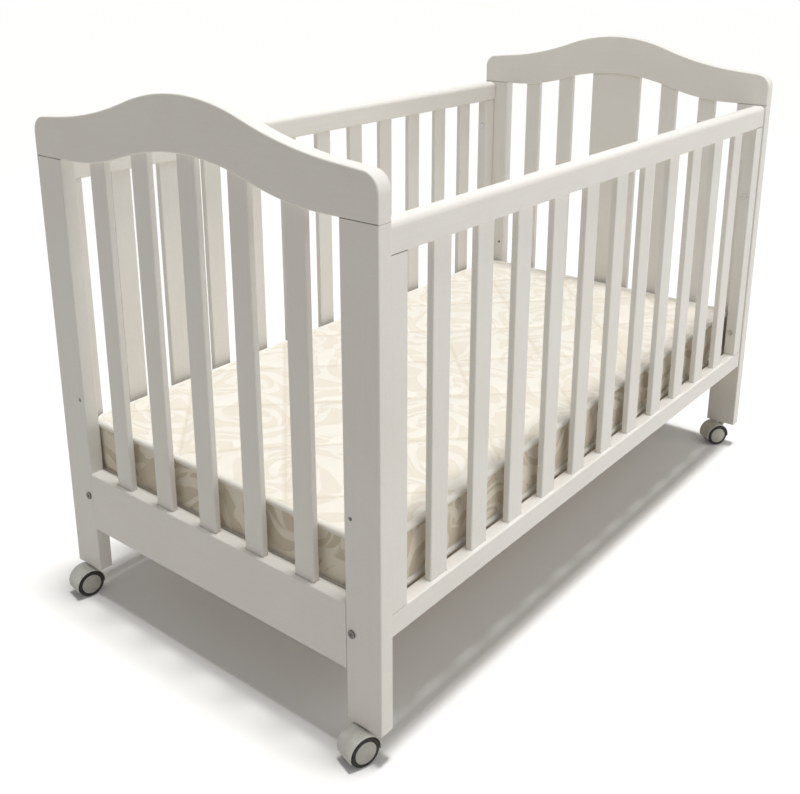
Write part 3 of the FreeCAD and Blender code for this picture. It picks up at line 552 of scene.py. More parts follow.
class Bench:
    """The few modelling moves that every sub-assembly uses."""

    @staticmethod
    def clear() -> None:
        """Leaves object mode with nothing selected."""
        if bpy.context.object is not None and bpy.context.object.mode != "OBJECT":
            bpy.ops.object.mode_set(mode="OBJECT")
        bpy.ops.object.select_all(action="DESELECT")

    @staticmethod
    def pick(*things: Piece) -> None:
        """Selects these objects only and makes the first one active."""
        Bench.clear()
        for thing in things:
            thing.select_set(True)
        bpy.context.view_layer.objects.active = things[0]

    @staticmethod
    @contextmanager
    def editing(thing: Piece, everything: bool = True) -> Iterator[None]:
        """Edit mode on one object, at first with everything or with its own flags selected."""
        Bench.pick(thing)
        bpy.ops.object.mode_set(mode="EDIT")
        if everything:
            bpy.ops.mesh.select_all(action="SELECT")
        yield
        bpy.ops.object.mode_set(mode="OBJECT")

    @staticmethod
    def clear_flags(thing: Piece, kind: str) -> None:
        """Deselects a whole mesh, ready for flags on its edges or its faces."""
        with Bench.editing(thing):
            bpy.ops.mesh.select_mode(type=kind)
            bpy.ops.mesh.select_all(action="DESELECT")

    @staticmethod
    def named(name: str) -> Piece:
        """Names the object that an operator has just added."""
        made = bpy.context.object
        made.name = name
        made.data.name = name
        return made

    @staticmethod
    def outline(name: str, points: Sequence[Point], filled: bool = False) -> Piece:
        """A closed outline: a circle primitive whose corners are moved to the given points.

        Args:
            name: The new object's name.
            points: Its corners in order.
            filled: True for one face across it.

        Returns:
            The outline.
        """
        Bench.clear()
        fill = "NGON" if filled else "NOTHING"
        bpy.ops.mesh.primitive_circle_add(vertices=len(points), radius=0.01, fill_type=fill)
        made = Bench.named(name)
        for corner, point in zip(made.data.vertices, points):
            corner.co = point
        return made

    @staticmethod
    def spin(thing: Piece, axis: Point, angle: float, steps: int) -> None:
        """Sweeps an outline round an axis through the origin and closes the result.

        Args:
            thing: The outline.
            axis: The axis to turn about.
            angle: How far, in radians.
            steps: How many steps it takes.
        """
        with Bench.editing(thing):
            bpy.ops.mesh.spin(steps=steps, dupli=False, angle=angle, center=(0, 0, 0), axis=axis)
            bpy.ops.mesh.select_all(action="SELECT")
            bpy.ops.mesh.remove_doubles(threshold=1e-6)
            if angle < TURN - 1e-3:
                bpy.ops.mesh.fill_holes(sides=0)
            bpy.ops.mesh.dissolve_degenerate(threshold=1e-7)
            bpy.ops.mesh.select_all(action="SELECT")
            bpy.ops.mesh.normals_make_consistent(inside=False)

    @staticmethod
    def turned(name: str, profile: Sequence[tuple[float, float]], steps: int = 56) -> Piece:
        """A round piece about the Y axis.

        Args:
            name: The new object's name.
            profile: A closed profile of (distance along the axis, radius), in millimetres.
            steps: Facets round it.

        Returns:
            The turned piece.
        """
        thing = Bench.outline(name, [(r * MM, a * MM, 0.0) for a, r in profile])
        Bench.spin(thing, (0, 1, 0), TURN, steps)
        return thing

    @staticmethod
    def apply(thing: Piece, kind: str, **settings: object) -> None:
        """Adds a modifier and applies it.

        Args:
            thing: The object.
            kind: The modifier's type.
            settings: The modifier's properties.
        """
        Bench.pick(thing)
        modifier = thing.modifiers.new(kind.lower(), kind)
        for key, value in settings.items():
            setattr(modifier, key, value)
        bpy.ops.object.modifier_apply(modifier=modifier.name)

    @staticmethod
    def soften(thing: Piece, width: float, segments: int = 2, sharp: float = 30.0) -> None:
        """Bevels the sharp edges and shades the rest smooth."""
        Bench.apply(thing, "BEVEL", width=width, segments=segments, limit_method="ANGLE",
                    angle_limit=math.radians(sharp), use_clamp_overlap=True)
        Bench.smooth(thing)

    @staticmethod
    def smooth(thing: Piece, angle: float = 35.0) -> None:
        """Shades smooth across all but sharp edges."""
        Bench.pick(thing)
        bpy.ops.object.shade_smooth_by_angle(angle=math.radians(angle))

    @staticmethod
    def place(thing: Piece, matrix: Matrix) -> Piece:
        """Moves an object and puts the move into its mesh."""
        Bench.pick(thing)
        thing.matrix_world = matrix @ thing.matrix_world
        bpy.ops.object.transform_apply(location=True, rotation=True, scale=True)
        return thing

    @staticmethod
    def twin(thing: Piece, name: str) -> Piece:
        """A copy with its own mesh."""
        copy = thing.copy()
        copy.data = thing.data.copy()
        copy.name = name
        copy.data.name = name
        bpy.context.scene.collection.objects.link(copy)
        return copy

    @staticmethod
    def join(things: Sequence[Piece], name: str) -> Piece:
        """Joins several objects into one."""
        Bench.pick(*things)
        bpy.ops.object.join()
        return Bench.named(name)

    @staticmethod
    def drop(*things: Piece) -> None:
        """Deletes patterns that have been copied."""
        for thing in things:
            bpy.data.objects.remove(thing)

    @staticmethod
    def paint(thing: Piece, material: Material, slot: str) -> None:
        """Gives a new piece its material."""
        thing.data.materials.clear()
        thing.data.materials.append(material)


# ---- Sub-assemblies ----


def cover(node: Piece, material: Material) -> None:
    """Puts one material in every slot of a CAD node, leaving its mesh alone."""
    if not node.material_slots:
        node.data.materials.append(material)
    for place in node.material_slots:
        place.material = material


@dataclass
class Woodwork:
    """The painted ends and side panels and the bare base: CAD boards that only need their finish."""

    seam_level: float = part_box("foot_front_post")[1].z
    post_inner: float = abs(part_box("foot_front_post")[1].y)
    stile_low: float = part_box("front_foot_stile")[0].z
    stile_high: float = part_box("front_foot_stile")[1].z
    stile_inner: float = abs(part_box("front_foot_stile")[1].x)

    def finishes(self) -> dict[str, object]:
        """The finish of each kind of board, keyed by the start or the end of its node's name."""
        crest = dict(seams=(self.seam_level,), seam_from=self.post_inner + 0.3 * MM)
        panel = dict(seams=(self.stile_low, self.stile_high), seam_from=self.stile_inner, seam_along_x=True)
        pine = dict(light=(0.74, 0.63, 0.47), dark=(0.60, 0.47, 0.32))
        return {
            "_post": SatinPaint("post_paint", Grain.Z, **crest),
            "_crest_rail": SatinPaint("crest_paint", Grain.Y, **crest),
            "_lower_rail": SatinPaint("lower_rail_paint", Grain.Y),
            "_top_rail": SatinPaint("top_rail_paint", Grain.X, **panel),
            "_bottom_rail": SatinPaint("bottom_rail_paint", Grain.X, **panel),
            "_stile": SatinPaint("stile_paint", Grain.Z, **panel),
            "_splat": SatinPaint("splat_paint", Grain.Z),
            "base_front_rail": BareWood("base_rail_pine", Grain.X, **pine),
            "base_back_rail": BareWood("base_rail_pine", Grain.X, **pine),
            "base_foot_rail": BareWood("cross_rail_pine", Grain.Y, **pine),
            "base_head_rail": BareWood("cross_rail_pine", Grain.Y, **pine),
            "base_slats": BareWood("base_slat_pine", Grain.Y, (0.76, 0.66, 0.50), (0.63, 0.50, 0.34)),
            "_slats": SatinPaint("slat_paint", Grain.Z),
            "_dowels": BareWood("dowel_beech", Grain.Y, (0.66, 0.48, 0.31), (0.52, 0.35, 0.21), 90.0),
        }

    def dress(self) -> None:
        """Puts the finishes on the boards."""
        made: dict[str, Material] = {}
        for name, node in frame["nodes"].items():
            for key, finish in self.finishes().items():
                if name == key or name.endswith(key):
                    if finish.name not in made:
                        made[finish.name] = finish.make()
                    cover(node, made[finish.name])
                    break
        log.info("woodwork: %d finishes", len(made))


@dataclass
class SocketBolt:
    """A flat-headed bolt with a hexagon socket, built about +Z with the head above zero."""

    head_radius: float = 6.5 * MM
    head_tall: float = 2.5 * MM
    socket_radius: float = 2.9 * MM
    socket_deep: float = 1.7 * MM
    shank_radius: float = 2.92 * MM
    chamfer: float = 0.55 * MM
    point: float = 1.0 * MM
    point_share: float = 0.72
    facets: int = 48

    def build(self, name: str, long: float) -> Piece:
        """Models one bolt.

        Args:
            name: Its name.
            long: Its length under the head.

        Returns:
            The bolt.
        """
        Bench.clear()
        bpy.ops.mesh.primitive_cylinder_add(vertices=self.facets, radius=self.head_radius,
                                            depth=self.head_tall, location=(0, 0, self.head_tall / 2))
        head = Bench.named(name)
        bpy.ops.object.transform_apply(location=True, rotation=True, scale=True)
        self._shape_shank(head, long)
        Bench.clear()
        bpy.ops.mesh.primitive_cylinder_add(vertices=6, radius=self.socket_radius,
                                            depth=2 * self.socket_deep, location=(0, 0, self.head_tall))
        key = Bench.named(f"{name}_socket")
        Bench.apply(head, "BOOLEAN", operation="DIFFERENCE", object=key, solver="EXACT")
        Bench.drop(key)
        Bench.soften(head, self.chamfer, 3, 50.0)
        return head

    def _shape_shank(self, head: Piece, long: float) -> None:
        """Draws the shank out of the head's underside with an inset and two extrusions."""
        Bench.clear_flags(head, "FACE")
        for face in head.data.polygons:
            face.select = face.normal.z < -0.9
        with Bench.editing(head, everything=False):
            bpy.ops.mesh.inset(thickness=self.head_radius - self.shank_radius, depth=0)
            for part in (long - self.point, self.point):
                bpy.ops.mesh.extrude_region_move(TRANSFORM_OT_translate={"value": (0, 0, -part)})
            bpy.ops.transform.resize(value=(self.point_share, self.point_share, 1.0))


@dataclass
class Fasteners:
    """The bolts whose heads show, and the finishes of those that don't."""

    bolt: SocketBolt
    dark: Plating = Plating("blacked_bolt_steel", (0.20, 0.19, 0.175), (0.09, 0.085, 0.08), 0.30)
    zinc: Plating = Plating("zinc_plate", (0.60, 0.60, 0.59), (0.42, 0.41, 0.39), 0.28)
    base_long: float = 70 * MM
    side_long: float = 50 * MM
    socket_turn: float = 0.9
    hidden: tuple[str, ...] = (
        "side_inserts", "base_barrel_nuts", "base_slat_screws", "base_frame_screws", "caster_stems",
    )

    def build(self) -> None:
        """Builds both sets of bolts and dresses the hidden metal."""
        zinc = self.zinc.make()
        low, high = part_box("base_bolts")
        bolt_y = high.y - self.bolt.head_radius
        level = (low.z + high.z) / 2
        face = high.x - self.bolt.head_tall
        base = [((face * end.value, bolt_y * side.value, level), end.value) for end in End for side in Side]
        self._row("base_socket_bolts", base, self.base_long, "base_bolts", self.dark.make(), "black_bolt")
        low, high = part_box("side_bolts")
        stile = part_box("front_foot_stile")[1].x
        side_y = high.y - self.bolt.head_radius
        rises = self._levels("side_bolts")
        side = [((abs(stile) * end.value, side_y * s.value, level), -end.value)
                for end in End for s in Side for level in rises[s]]
        self._row("side_socket_bolts", side, self.side_long, "side_bolts", zinc, "zinc_steel")
        for name in self.hidden:
            cover(frame["nodes"][name], zinc)

    def _levels(self, node: str) -> dict[Side, list[float]]:
        """The heights of a bolt set's rows on each side, read from its heads."""
        points = np.array([v.co for v in frame["nodes"][node].data.vertices])
        found = {}
        for side in Side:
            own = np.sort(points[points[:, 1] * side.value > 0][:, 2])
            gap = int(np.argmax(np.diff(own)))
            groups = (own[: gap + 1], own[gap + 1:])
            found[side] = [float((g[0] + g[-1]) / 2) for g in groups]
        return found

    def _row(
        self,
        name: str,
        places: Iterable[tuple[Point, int]],
        long: float,
        node: str,
        material: Material,
        slot: str,
    ) -> None:
        """Copies one bolt to every place of a set.

        Args:
            name: The set's name.
            places: Where each head seats, and which way along X it points.
            long: The length under the head.
            node: The CAD node that the set stands for.
            material: Its finish.
            slot: The record's slot; not used.
        """
        pattern = self.bolt.build(f"{name}_pattern", long)
        copies = []
        for number, (at, way) in enumerate(places):
            copy = Bench.twin(pattern, f"{name}_{number}")
            socket = Matrix.Rotation(number * self.socket_turn, 4, "Z")
            turn = Matrix.Rotation(math.radians(90) * way, 4, "Y") @ socket
            copies.append(Bench.place(copy, Matrix.Translation(at) @ turn))
        Bench.drop(pattern)
        whole = Bench.join(copies, name)
        Bench.paint(whole, material, slot)
        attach(whole, "frame")
        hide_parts(node)
        log.info("%s: %d bolts", name, len(copies))


@dataclass
class Caster:
    """One hooded twin-wheel caster, modelled about its axle and then turned and moved to its post."""

    name: str
    trail: float = 20.0
    drop: float = 31.0
    hood_front: float = -10.0
    hood_back: float = 198.0
    wheel_radius: float = 25.0
    wheel_inner: float = 4.0
    wheel_outer: float = 19.5
    hub_radius: float = 18.3
    hood_inner: float = 26.2
    hood_outer: float = 27.8
    web_half: float = 3.0
    web_foot: float = 9.0
    web_lap: float = 0.6
    boss_top: float = -1.8
    boss_low: float = -14.0
    steps: int = 48

    def pivot(self) -> tuple[Point, float]:
        """The swivel's place and the turn of the caster at rest, from its joints."""
        joints = {j["name"]: j for j in frame["joints"]}
        pivot = joints[f"{self.name}_swivel"]["pos_m"]
        axle = joints[f"{self.name}_front_roll"]["pos_m"]
        return tuple(pivot), math.atan2(pivot[1] - axle[1], pivot[0] - axle[0])

    def at_axle(self) -> Matrix:
        """The move from a piece modelled about the axle to its place."""
        pivot, turn = self.pivot()
        offset = Matrix.Translation((-self.trail * MM, 0, -self.drop * MM))
        return Matrix.Translation(pivot) @ Matrix.Rotation(turn, 4, "Z") @ offset

    def at_pivot(self) -> Matrix:
        """The move from a piece modelled about the pivot to its place."""
        pivot, turn = self.pivot()
        return Matrix.Translation(pivot) @ Matrix.Rotation(turn, 4, "Z")

    def cover_profile(self) -> list[tuple[float, float]]:
        """The hood's cross-section: a shell with rounded shoulders and rolled-in lips."""
        half, out, inn = self.wheel_outer, self.hood_outer, self.hood_inner
        right = [
            (0.0, out), (half * 0.55, out), (half - 3.2, out - 0.05), (half - 1.5, out - 0.35),
            (half - 0.45, out - 1.0), (half, out - 1.75), (half, inn), (half - 0.5, inn - 0.35),
            (half - 1.5, inn - 0.1), (half * 0.5, inn),
        ]
        left = [(-a, r) for a, r in reversed(right[1:])]
        return right + [(0.0, inn)] + left

    def hood(self, material: Material) -> Piece:
        """The cover, the web that carries the axle, and the boss that takes the stem."""
        start = math.radians(self.hood_front)
        sweep = math.radians(self.hood_back - self.hood_front)
        across, up = MM * math.cos(start), MM * math.sin(start)
        section = [(r * across, a * MM, r * up) for a, r in self.cover_profile()]
        cover = Bench.outline(f"{self.name}_cover", section)
        Bench.spin(cover, (0, 1, 0), sweep, self.steps)
        Bench.soften(cover, 0.35 * MM, 2, 50.0)
        web = self._web()
        boss = self._boss()
        for piece in (cover, web):
            Bench.place(piece, self.at_axle())
        Bench.place(boss, self.at_pivot())
        whole = Bench.join([cover, web, boss], f"{self.name}_hood_shell")
        Bench.paint(whole, material, "hood_plastic")
        return whole

    def _web(self) -> Piece:
        """The middle web, from the cover down to the axle."""
        reach, foot, count = self.hood_inner + self.web_lap, self.web_foot, 30
        span = self.hood_back - self.hood_front
        arc = [math.radians(self.hood_front + span * k / count) for k in range(count + 1)]
        corners = [(reach * math.cos(t), reach * math.sin(t)) for t in arc]
        corners += [(-foot, -foot), (foot, -foot)]
        points = [(a * MM, -self.web_half * MM, b * MM) for a, b in corners]
        web = Bench.outline(f"{self.name}_web", points, filled=True)
        thick = (0, 2 * self.web_half * MM, 0)
        with Bench.editing(web):
            bpy.ops.mesh.extrude_region_move(TRANSFORM_OT_translate={"value": thick})
            bpy.ops.mesh.select_all(action="SELECT")
            bpy.ops.mesh.normals_make_consistent(inside=False)
        Bench.soften(web, 0.5 * MM, 2, 40.0)
        return web

    def _boss(self) -> Piece:
        """The tapered boss under the collar."""
        top, low = self.boss_top * MM, self.boss_low * MM
        Bench.clear()
        bpy.ops.mesh.primitive_cone_add(vertices=40, radius1=3.4 * MM, radius2=9 * MM, depth=top - low,
                                        location=(0, 0, (top + low) / 2))
        boss = Bench.named(f"{self.name}_boss")
        bpy.ops.object.transform_apply(location=True, rotation=True, scale=True)
        Bench.soften(boss, 0.7 * MM, 3, 40.0)
        return boss

    def tyre_profile(self) -> list[tuple[float, float]]:
        """The tyre: rounded shoulders, a shallow moulded groove and a raised side lip."""
        rim, inn, out, hub = self.wheel_radius, self.wheel_inner, self.wheel_outer, self.hub_radius
        middle = (inn + out) / 2
        return [
            (inn, hub), (inn, rim - 1.2), (inn + 0.4, rim - 0.4), (inn + 1.3, rim),
            (middle - 0.9, rim), (middle - 0.5, rim - 0.45), (middle + 0.5, rim - 0.45),
            (middle + 0.9, rim),
            (out - 3.0, rim), (out - 1.5, rim - 0.45), (out - 0.5, rim - 1.4), (out, rim - 2.8),
            (out, hub + 1.6), (out - 0.25, hub + 0.9), (out - 0.7, hub + 0.6), (out - 1.0, hub),
        ]

    def hub_profile(self) -> list[tuple[float, float]]:
        """The hub: a dished disc with a rim and a long bearing."""
        inn, out, rim = self.wheel_inner + 0.6, self.wheel_outer - 2.0, self.hub_radius - 0.02
        return [
            (inn + 0.4, 3.05), (inn, 5.6), (inn + 2.2, 6.2), (inn + 2.4, rim - 3.4), (inn + 0.2, rim - 2.4),
            (inn, rim), (out, rim), (out, rim - 1.8), (inn + 4.4, rim - 2.6), (inn + 4.4, 6.2),
            (out - 0.2, 5.6), (out - 0.2, 3.05),
        ]

    def cap_profile(self) -> list[tuple[float, float]]:
        """The cap: a shallow dome inside a raised ring, with a small centre dimple."""
        out, rim = self.wheel_outer, self.hub_radius
        return [
            (out - 2.0, 0.0), (out - 2.0, rim - 0.25), (out - 0.5, rim - 0.1), (out + 0.15, rim - 0.2),
            (out + 0.55, rim - 0.8), (out + 0.70, rim - 1.7), (out + 0.62, rim - 2.4),
            (out + 0.42, rim - 2.7), (out + 0.50, rim - 3.1), (out + 1.05, rim * 0.68),
            (out + 1.62, rim * 0.46), (out + 2.02, rim * 0.26), (out + 2.10, rim * 0.17),
            (out + 1.85, rim * 0.13), (out + 1.80, 0.0),
        ]

    def wheel(self, side: Side, tread: Material, plastic: Material) -> None:
        """Builds one wheel with its cap.

        Args:
            side: Which of the pair.
            tread: The tyre's finish.
            plastic: The hub's and the cap's finish.
        """
        label = f"{self.name}_{side.name.lower()}"
        body = f"{label}_roller"
        way = float(side.value)
        pieces = {
            "tyre": (self.tyre_profile(), tread, "wheel_rubber", [f"{label}_wheel"]),
            "hub": (self.hub_profile(), plastic, "cap_plastic", []),
            "cover_cap": (self.cap_profile(), plastic, "cap_plastic", [f"{label}_cap"]),
        }
        for part, (profile, material, slot, nodes) in pieces.items():
            thing = Bench.turned(f"{label}_{part}", [(a * way, r) for a, r in profile])
            Bench.smooth(thing, 50.0)
            Bench.place(thing, self.at_axle())
            Bench.paint(thing, material, slot)
            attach(thing, body)
            if nodes:
                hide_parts(*nodes)

    def build(self, finishes: dict[str, Material]) -> None:
        """Builds the whole caster.

        Args:
            finishes: Its materials by name.
        """
        shell = self.hood(finishes["hood"])
        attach(shell, f"{self.name}_caster")
        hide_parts(f"{self.name}_caster_hood")
        cover(frame["nodes"][f"{self.name}_caster_axle"], finishes["zinc"])
        for side in Side:
            self.wheel(side, finishes["tread"], finishes["cap"])
        log.info("%s caster", self.name)


@dataclass
class Mattress:
    """The quilted mattress: a pressed-out cushion body, sewn diamonds and two bound edges."""

    corner: float = 0.033
    edge: float = 0.007
    voxel: float = 0.0095
    shrink: float = 0.0025
    crown: float = 0.0065
    diamond: float = 0.25
    offset: tuple[float, float] = (-0.010, -0.026)
    channel_deep: float = 0.0032
    channel_half: float = 0.011
    tape_radius: float = 0.0055
    sag: float = 0.0055
    pressure: float = 4.0
    frames: int = 20
    crown_reach: float = 0.09
    bound_tall: float = 9 * MM
    bound_deep: float = 12 * MM
    sewn_half: float = 4 * MM
    skin: float = 2 * MM
    rim_top: float = 6 * MM
    rim_fade: float = 5 * MM
    rim_middle: float = 0.022
    rim_half: float = 0.014
    end_zone: float = 0.06
    clearance: float = 0.2 * MM
    pucker_deep: float = 0.9 * MM
    pucker_pitch: float = 0.031
    side_pucker: float = 0.7 * MM
    sag_reach: float = 0.045
    sag_fade: float = 6 * MM
    tape_inset: float = 0.8 * MM
    tape_tall: float = 1.12
    tape_lap: float = 0.92
    slat_end: tuple[float, float] = (16 * MM, 1 * MM)

    def __post_init__(self) -> None:
        """Reads the CAD mattress's corners."""
        self.low, self.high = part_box("mattress")
        self.middle = (self.low + self.high) / 2

    def build(self) -> None:
        """Models, presses out, quilts and binds the mattress."""
        body = self._block()
        Bench.apply(body, "REMESH", mode="VOXEL", voxel_size=self.voxel, use_smooth_shade=True)
        rest = self._points(body)
        pressed = self._press_out(body, rest)
        self._write(body, pressed)
        Bench.apply(body, "SUBSURF", levels=1, render_levels=1)
        self._write(body, self._quilt(self._points(body)))
        Bench.pick(body)
        bpy.ops.object.shade_smooth()
        ticking = DamaskTicking("damask_ticking", diamond=self.diamond, offset=self.offset)
        Bench.paint(body, ticking.make(), "mattress_ticking")
        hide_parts("mattress")
        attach(body, "mattress")
        tape = EdgeTape("binding_tape").make()
        inward = self.tape_radius + self.tape_inset
        for name, level in (("top", self.high.z - inward), ("bottom", self.low.z + inward)):
            ring = self._tape(f"mattress_{name}_tape", level)
            Bench.paint(ring, tape, "mattress_ticking")
            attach(ring, "mattress")
        log.info("mattress: %d faces", len(body.data.polygons))

    def _block(self) -> Piece:
        """A cube primitive scaled to the mattress, with rounded corners and softened edges."""
        size = self.high - self.low
        Bench.clear()
        bpy.ops.mesh.primitive_cube_add(size=1.0, location=self.middle)
        body = Bench.named("mattress_body")
        body.scale = (size.x - 2 * self.shrink, size.y - 2 * self.shrink, size.z)
        bpy.ops.object.transform_apply(location=True, rotation=True, scale=True)
        Bench.clear_flags(body, "EDGE")
        corners = body.data.vertices
        for edge in body.data.edges:
            first, last = (corners[i].co for i in edge.vertices)
            edge.select = abs(first.z - last.z) > size.z * 0.5
        with Bench.editing(body, everything=False):
            bpy.ops.mesh.bevel(offset=self.corner, segments=10, affect="EDGES")
            bpy.ops.mesh.select_all(action="SELECT")
            bpy.ops.mesh.normals_make_consistent(inside=False)
        Bench.apply(body, "BEVEL", width=self.edge, segments=4, limit_method="ANGLE",
                    angle_limit=math.radians(60))
        return body

    def _points(self, thing: Piece) -> np.ndarray:
        """A mesh's points as an array."""
        flat = np.zeros(len(thing.data.vertices) * 3)
        thing.data.vertices.foreach_get("co", flat)
        return flat.reshape(-1, 3)

    def _write(self, thing: Piece, points: np.ndarray) -> None:
        """Puts points back into a mesh."""
        thing.data.vertices.foreach_set("co", points.astype(np.float32).ravel())
        thing.data.update()

    def _inset(self, points: np.ndarray) -> np.ndarray:
        """Each point's distance inside the mattress's outline, seen from above."""
        half = np.array(self.high - self.low)[:2] / 2
        reach = half - np.abs(points[:, :2] - np.array(self.middle)[:2])
        return np.clip(reach.min(axis=1), 0.0, None)

    def _seam_distance(self, points: np.ndarray) -> np.ndarray:
        """Each point's distance from the nearest sewn line, across the top."""
        x, y = points[:, 0], points[:, 1]
        lines = [
            np.abs((value + self.diamond / 2) % self.diamond - self.diamond / 2)
            for value in (y - x - self.offset[0], y + x - self.offset[1])
        ]
        return np.minimum(*lines) / math.sqrt(2)

    def _press_out(self, body: Piece, rest: np.ndarray) -> np.ndarray:
        """Runs the cloth under pressure on a copy, held at its bound edges, its base and its sewn lines.

        Args:
            body: The remeshed mattress.
            rest: Its points.

        Returns:
            The pressed-out points, with the movement capped.
        """
        copy = Bench.twin(body, "mattress_press")
        below = self.high.z - rest[:, 2]
        above = rest[:, 2] - self.low.z
        near_edge = np.minimum(np.abs(below), np.abs(above)) < self.bound_tall
        bound = near_edge & (self._inset(rest) < self.bound_deep)
        base = above < self.skin
        sewn = (self._seam_distance(rest) < self.sewn_half) & (below < self.skin)
        pins = copy.vertex_groups.new(name="held")
        pins.add([int(i) for i in np.nonzero(bound | base)[0]], 1.0, "REPLACE")
        pins.add([int(i) for i in np.nonzero(sewn & ~bound)[0]], 0.55, "REPLACE")
        cloth = copy.modifiers.new("pressing", "CLOTH")
        ticking = dict(
            quality=5, mass=0.35, tension_stiffness=18, compression_stiffness=12, shear_stiffness=6,
            bending_stiffness=0.8, use_pressure=True, uniform_pressure_force=self.pressure,
            vertex_group_mass="held",
        )
        for key, value in ticking.items():
            setattr(cloth.settings, key, value)
        cloth.settings.effector_weights.gravity = 0.0
        cloth.collision_settings.use_collision = False
        scene = bpy.context.scene
        for number in range(1, self.frames + 1):
            scene.frame_set(number)
        Bench.pick(copy)
        bpy.ops.object.modifier_apply(modifier=cloth.name)
        moved = self._points(copy) - rest
        scene.frame_set(1)
        Bench.drop(copy)
        length = np.linalg.norm(moved, axis=1, keepdims=True)
        log.info("pressing moved the cloth by up to %.1f mm", float(length.max()) / MM)
        kept = self.crown * np.tanh(length / self.crown) / np.maximum(length, 1e-9)
        return rest + moved * kept

    def _quilt(self, points: np.ndarray) -> np.ndarray:
        """Sinks the sewn lines, puckers the bound edges and keeps the sides inside the frame.

        Args:
            points: The pressed-out points.

        Returns:
            The finished points.
        """
        made = points.copy()
        inside = self._inset(points)
        top = np.clip((points[:, 2] - (self.high.z - self.rim_top)) / self.rim_fade, 0, 1)
        channel = np.exp(-((self._seam_distance(points) / self.channel_half) ** 2))
        made[:, 2] -= self.channel_deep * channel * top * np.clip(inside / 0.02, 0, 1)
        along = np.where(np.abs(points[:, 0]) > self.high.x - self.end_zone, points[:, 1], points[:, 0])
        pucker = 0.5 + 0.5 * np.sin(along * TURN / self.pucker_pitch + 1.7 * np.sin(along * 9.0))
        rim = np.exp(-(((inside - self.rim_middle) / self.rim_half) ** 2)) * top
        made[:, 2] -= self.pucker_deep * pucker * rim
        side = np.clip(1 - inside / 0.006, 0, 1) * (1 - top)
        outward = points[:, :2] - np.array(self.middle)[:2]
        outward /= np.maximum(np.linalg.norm(outward, axis=1, keepdims=True), 1e-9)
        made[:, :2] -= outward * (self.side_pucker * pucker * side)[:, None]
        limits = np.array(self.high)[:2] - self.clearance
        made[:, :2] = np.clip(made[:, :2], -limits, limits)
        made[:, 2] = np.maximum(made[:, 2], self.low.z)
        made[:, 2] -= self._droop(made)
        return made

    def _droop(self, points: np.ndarray) -> np.ndarray:
        """How far each point near the base sags past the ends of the base slats, in metres."""
        slats = np.array(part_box("base_slats")[1])[:2]
        past = (np.abs(points[:, :2]) - slats - self.slat_end).max(axis=1)
        near_base = np.clip(1 - (points[:, 2] - self.low.z) / self.sag_reach, 0, 1)
        return self.sag * eased(past / self.sag_fade) * near_base

    def _tape(self, name: str, level: float) -> Piece:
        """The binding: a flattened welt that follows the outline just inside the CAD box.

        Args:
            name: Its name.
            level: The height of its middle.

        Returns:
            The welt.
        """
        turn = self.corner - self.tape_radius * self.tape_lap
        steps = 14
        path = []
        for quarter, (way_x, way_y) in enumerate(((1, 1), (-1, 1), (-1, -1), (1, -1))):
            centre_x, centre_y = way_x * (self.high.x - self.corner), way_y * (self.high.y - self.corner)
            for k in range(steps + 1):
                angle = math.radians(90 * (quarter + k / steps))
                path.append((centre_x + turn * math.cos(angle), centre_y + turn * math.sin(angle), level))
        line = Bench.outline(name, path)
        Bench.pick(line)
        bpy.ops.object.convert(target="CURVE")
        line = bpy.context.object
        line.data.bevel_depth = self.tape_radius
        line.data.bevel_resolution = 4
        bpy.ops.object.convert(target="MESH")
        line = Bench.named(name)
        points = self._points(line)
        points[:, 2] = level + (points[:, 2] - level) * self.tape_tall
        points[:, 2] -= self._droop(points)
        self._write(line, points)
        Bench.smooth(line, 60.0)
        return line


# ---- The studio ----


@dataclass(frozen=True)
class Softbox:
    """A rectangular lamp: its place, the point that it faces, its width and height, power and tint."""

    name: str
    at: Point
    aim: Point
    size: tuple[float, float]
    watts: float
    tint: Colour


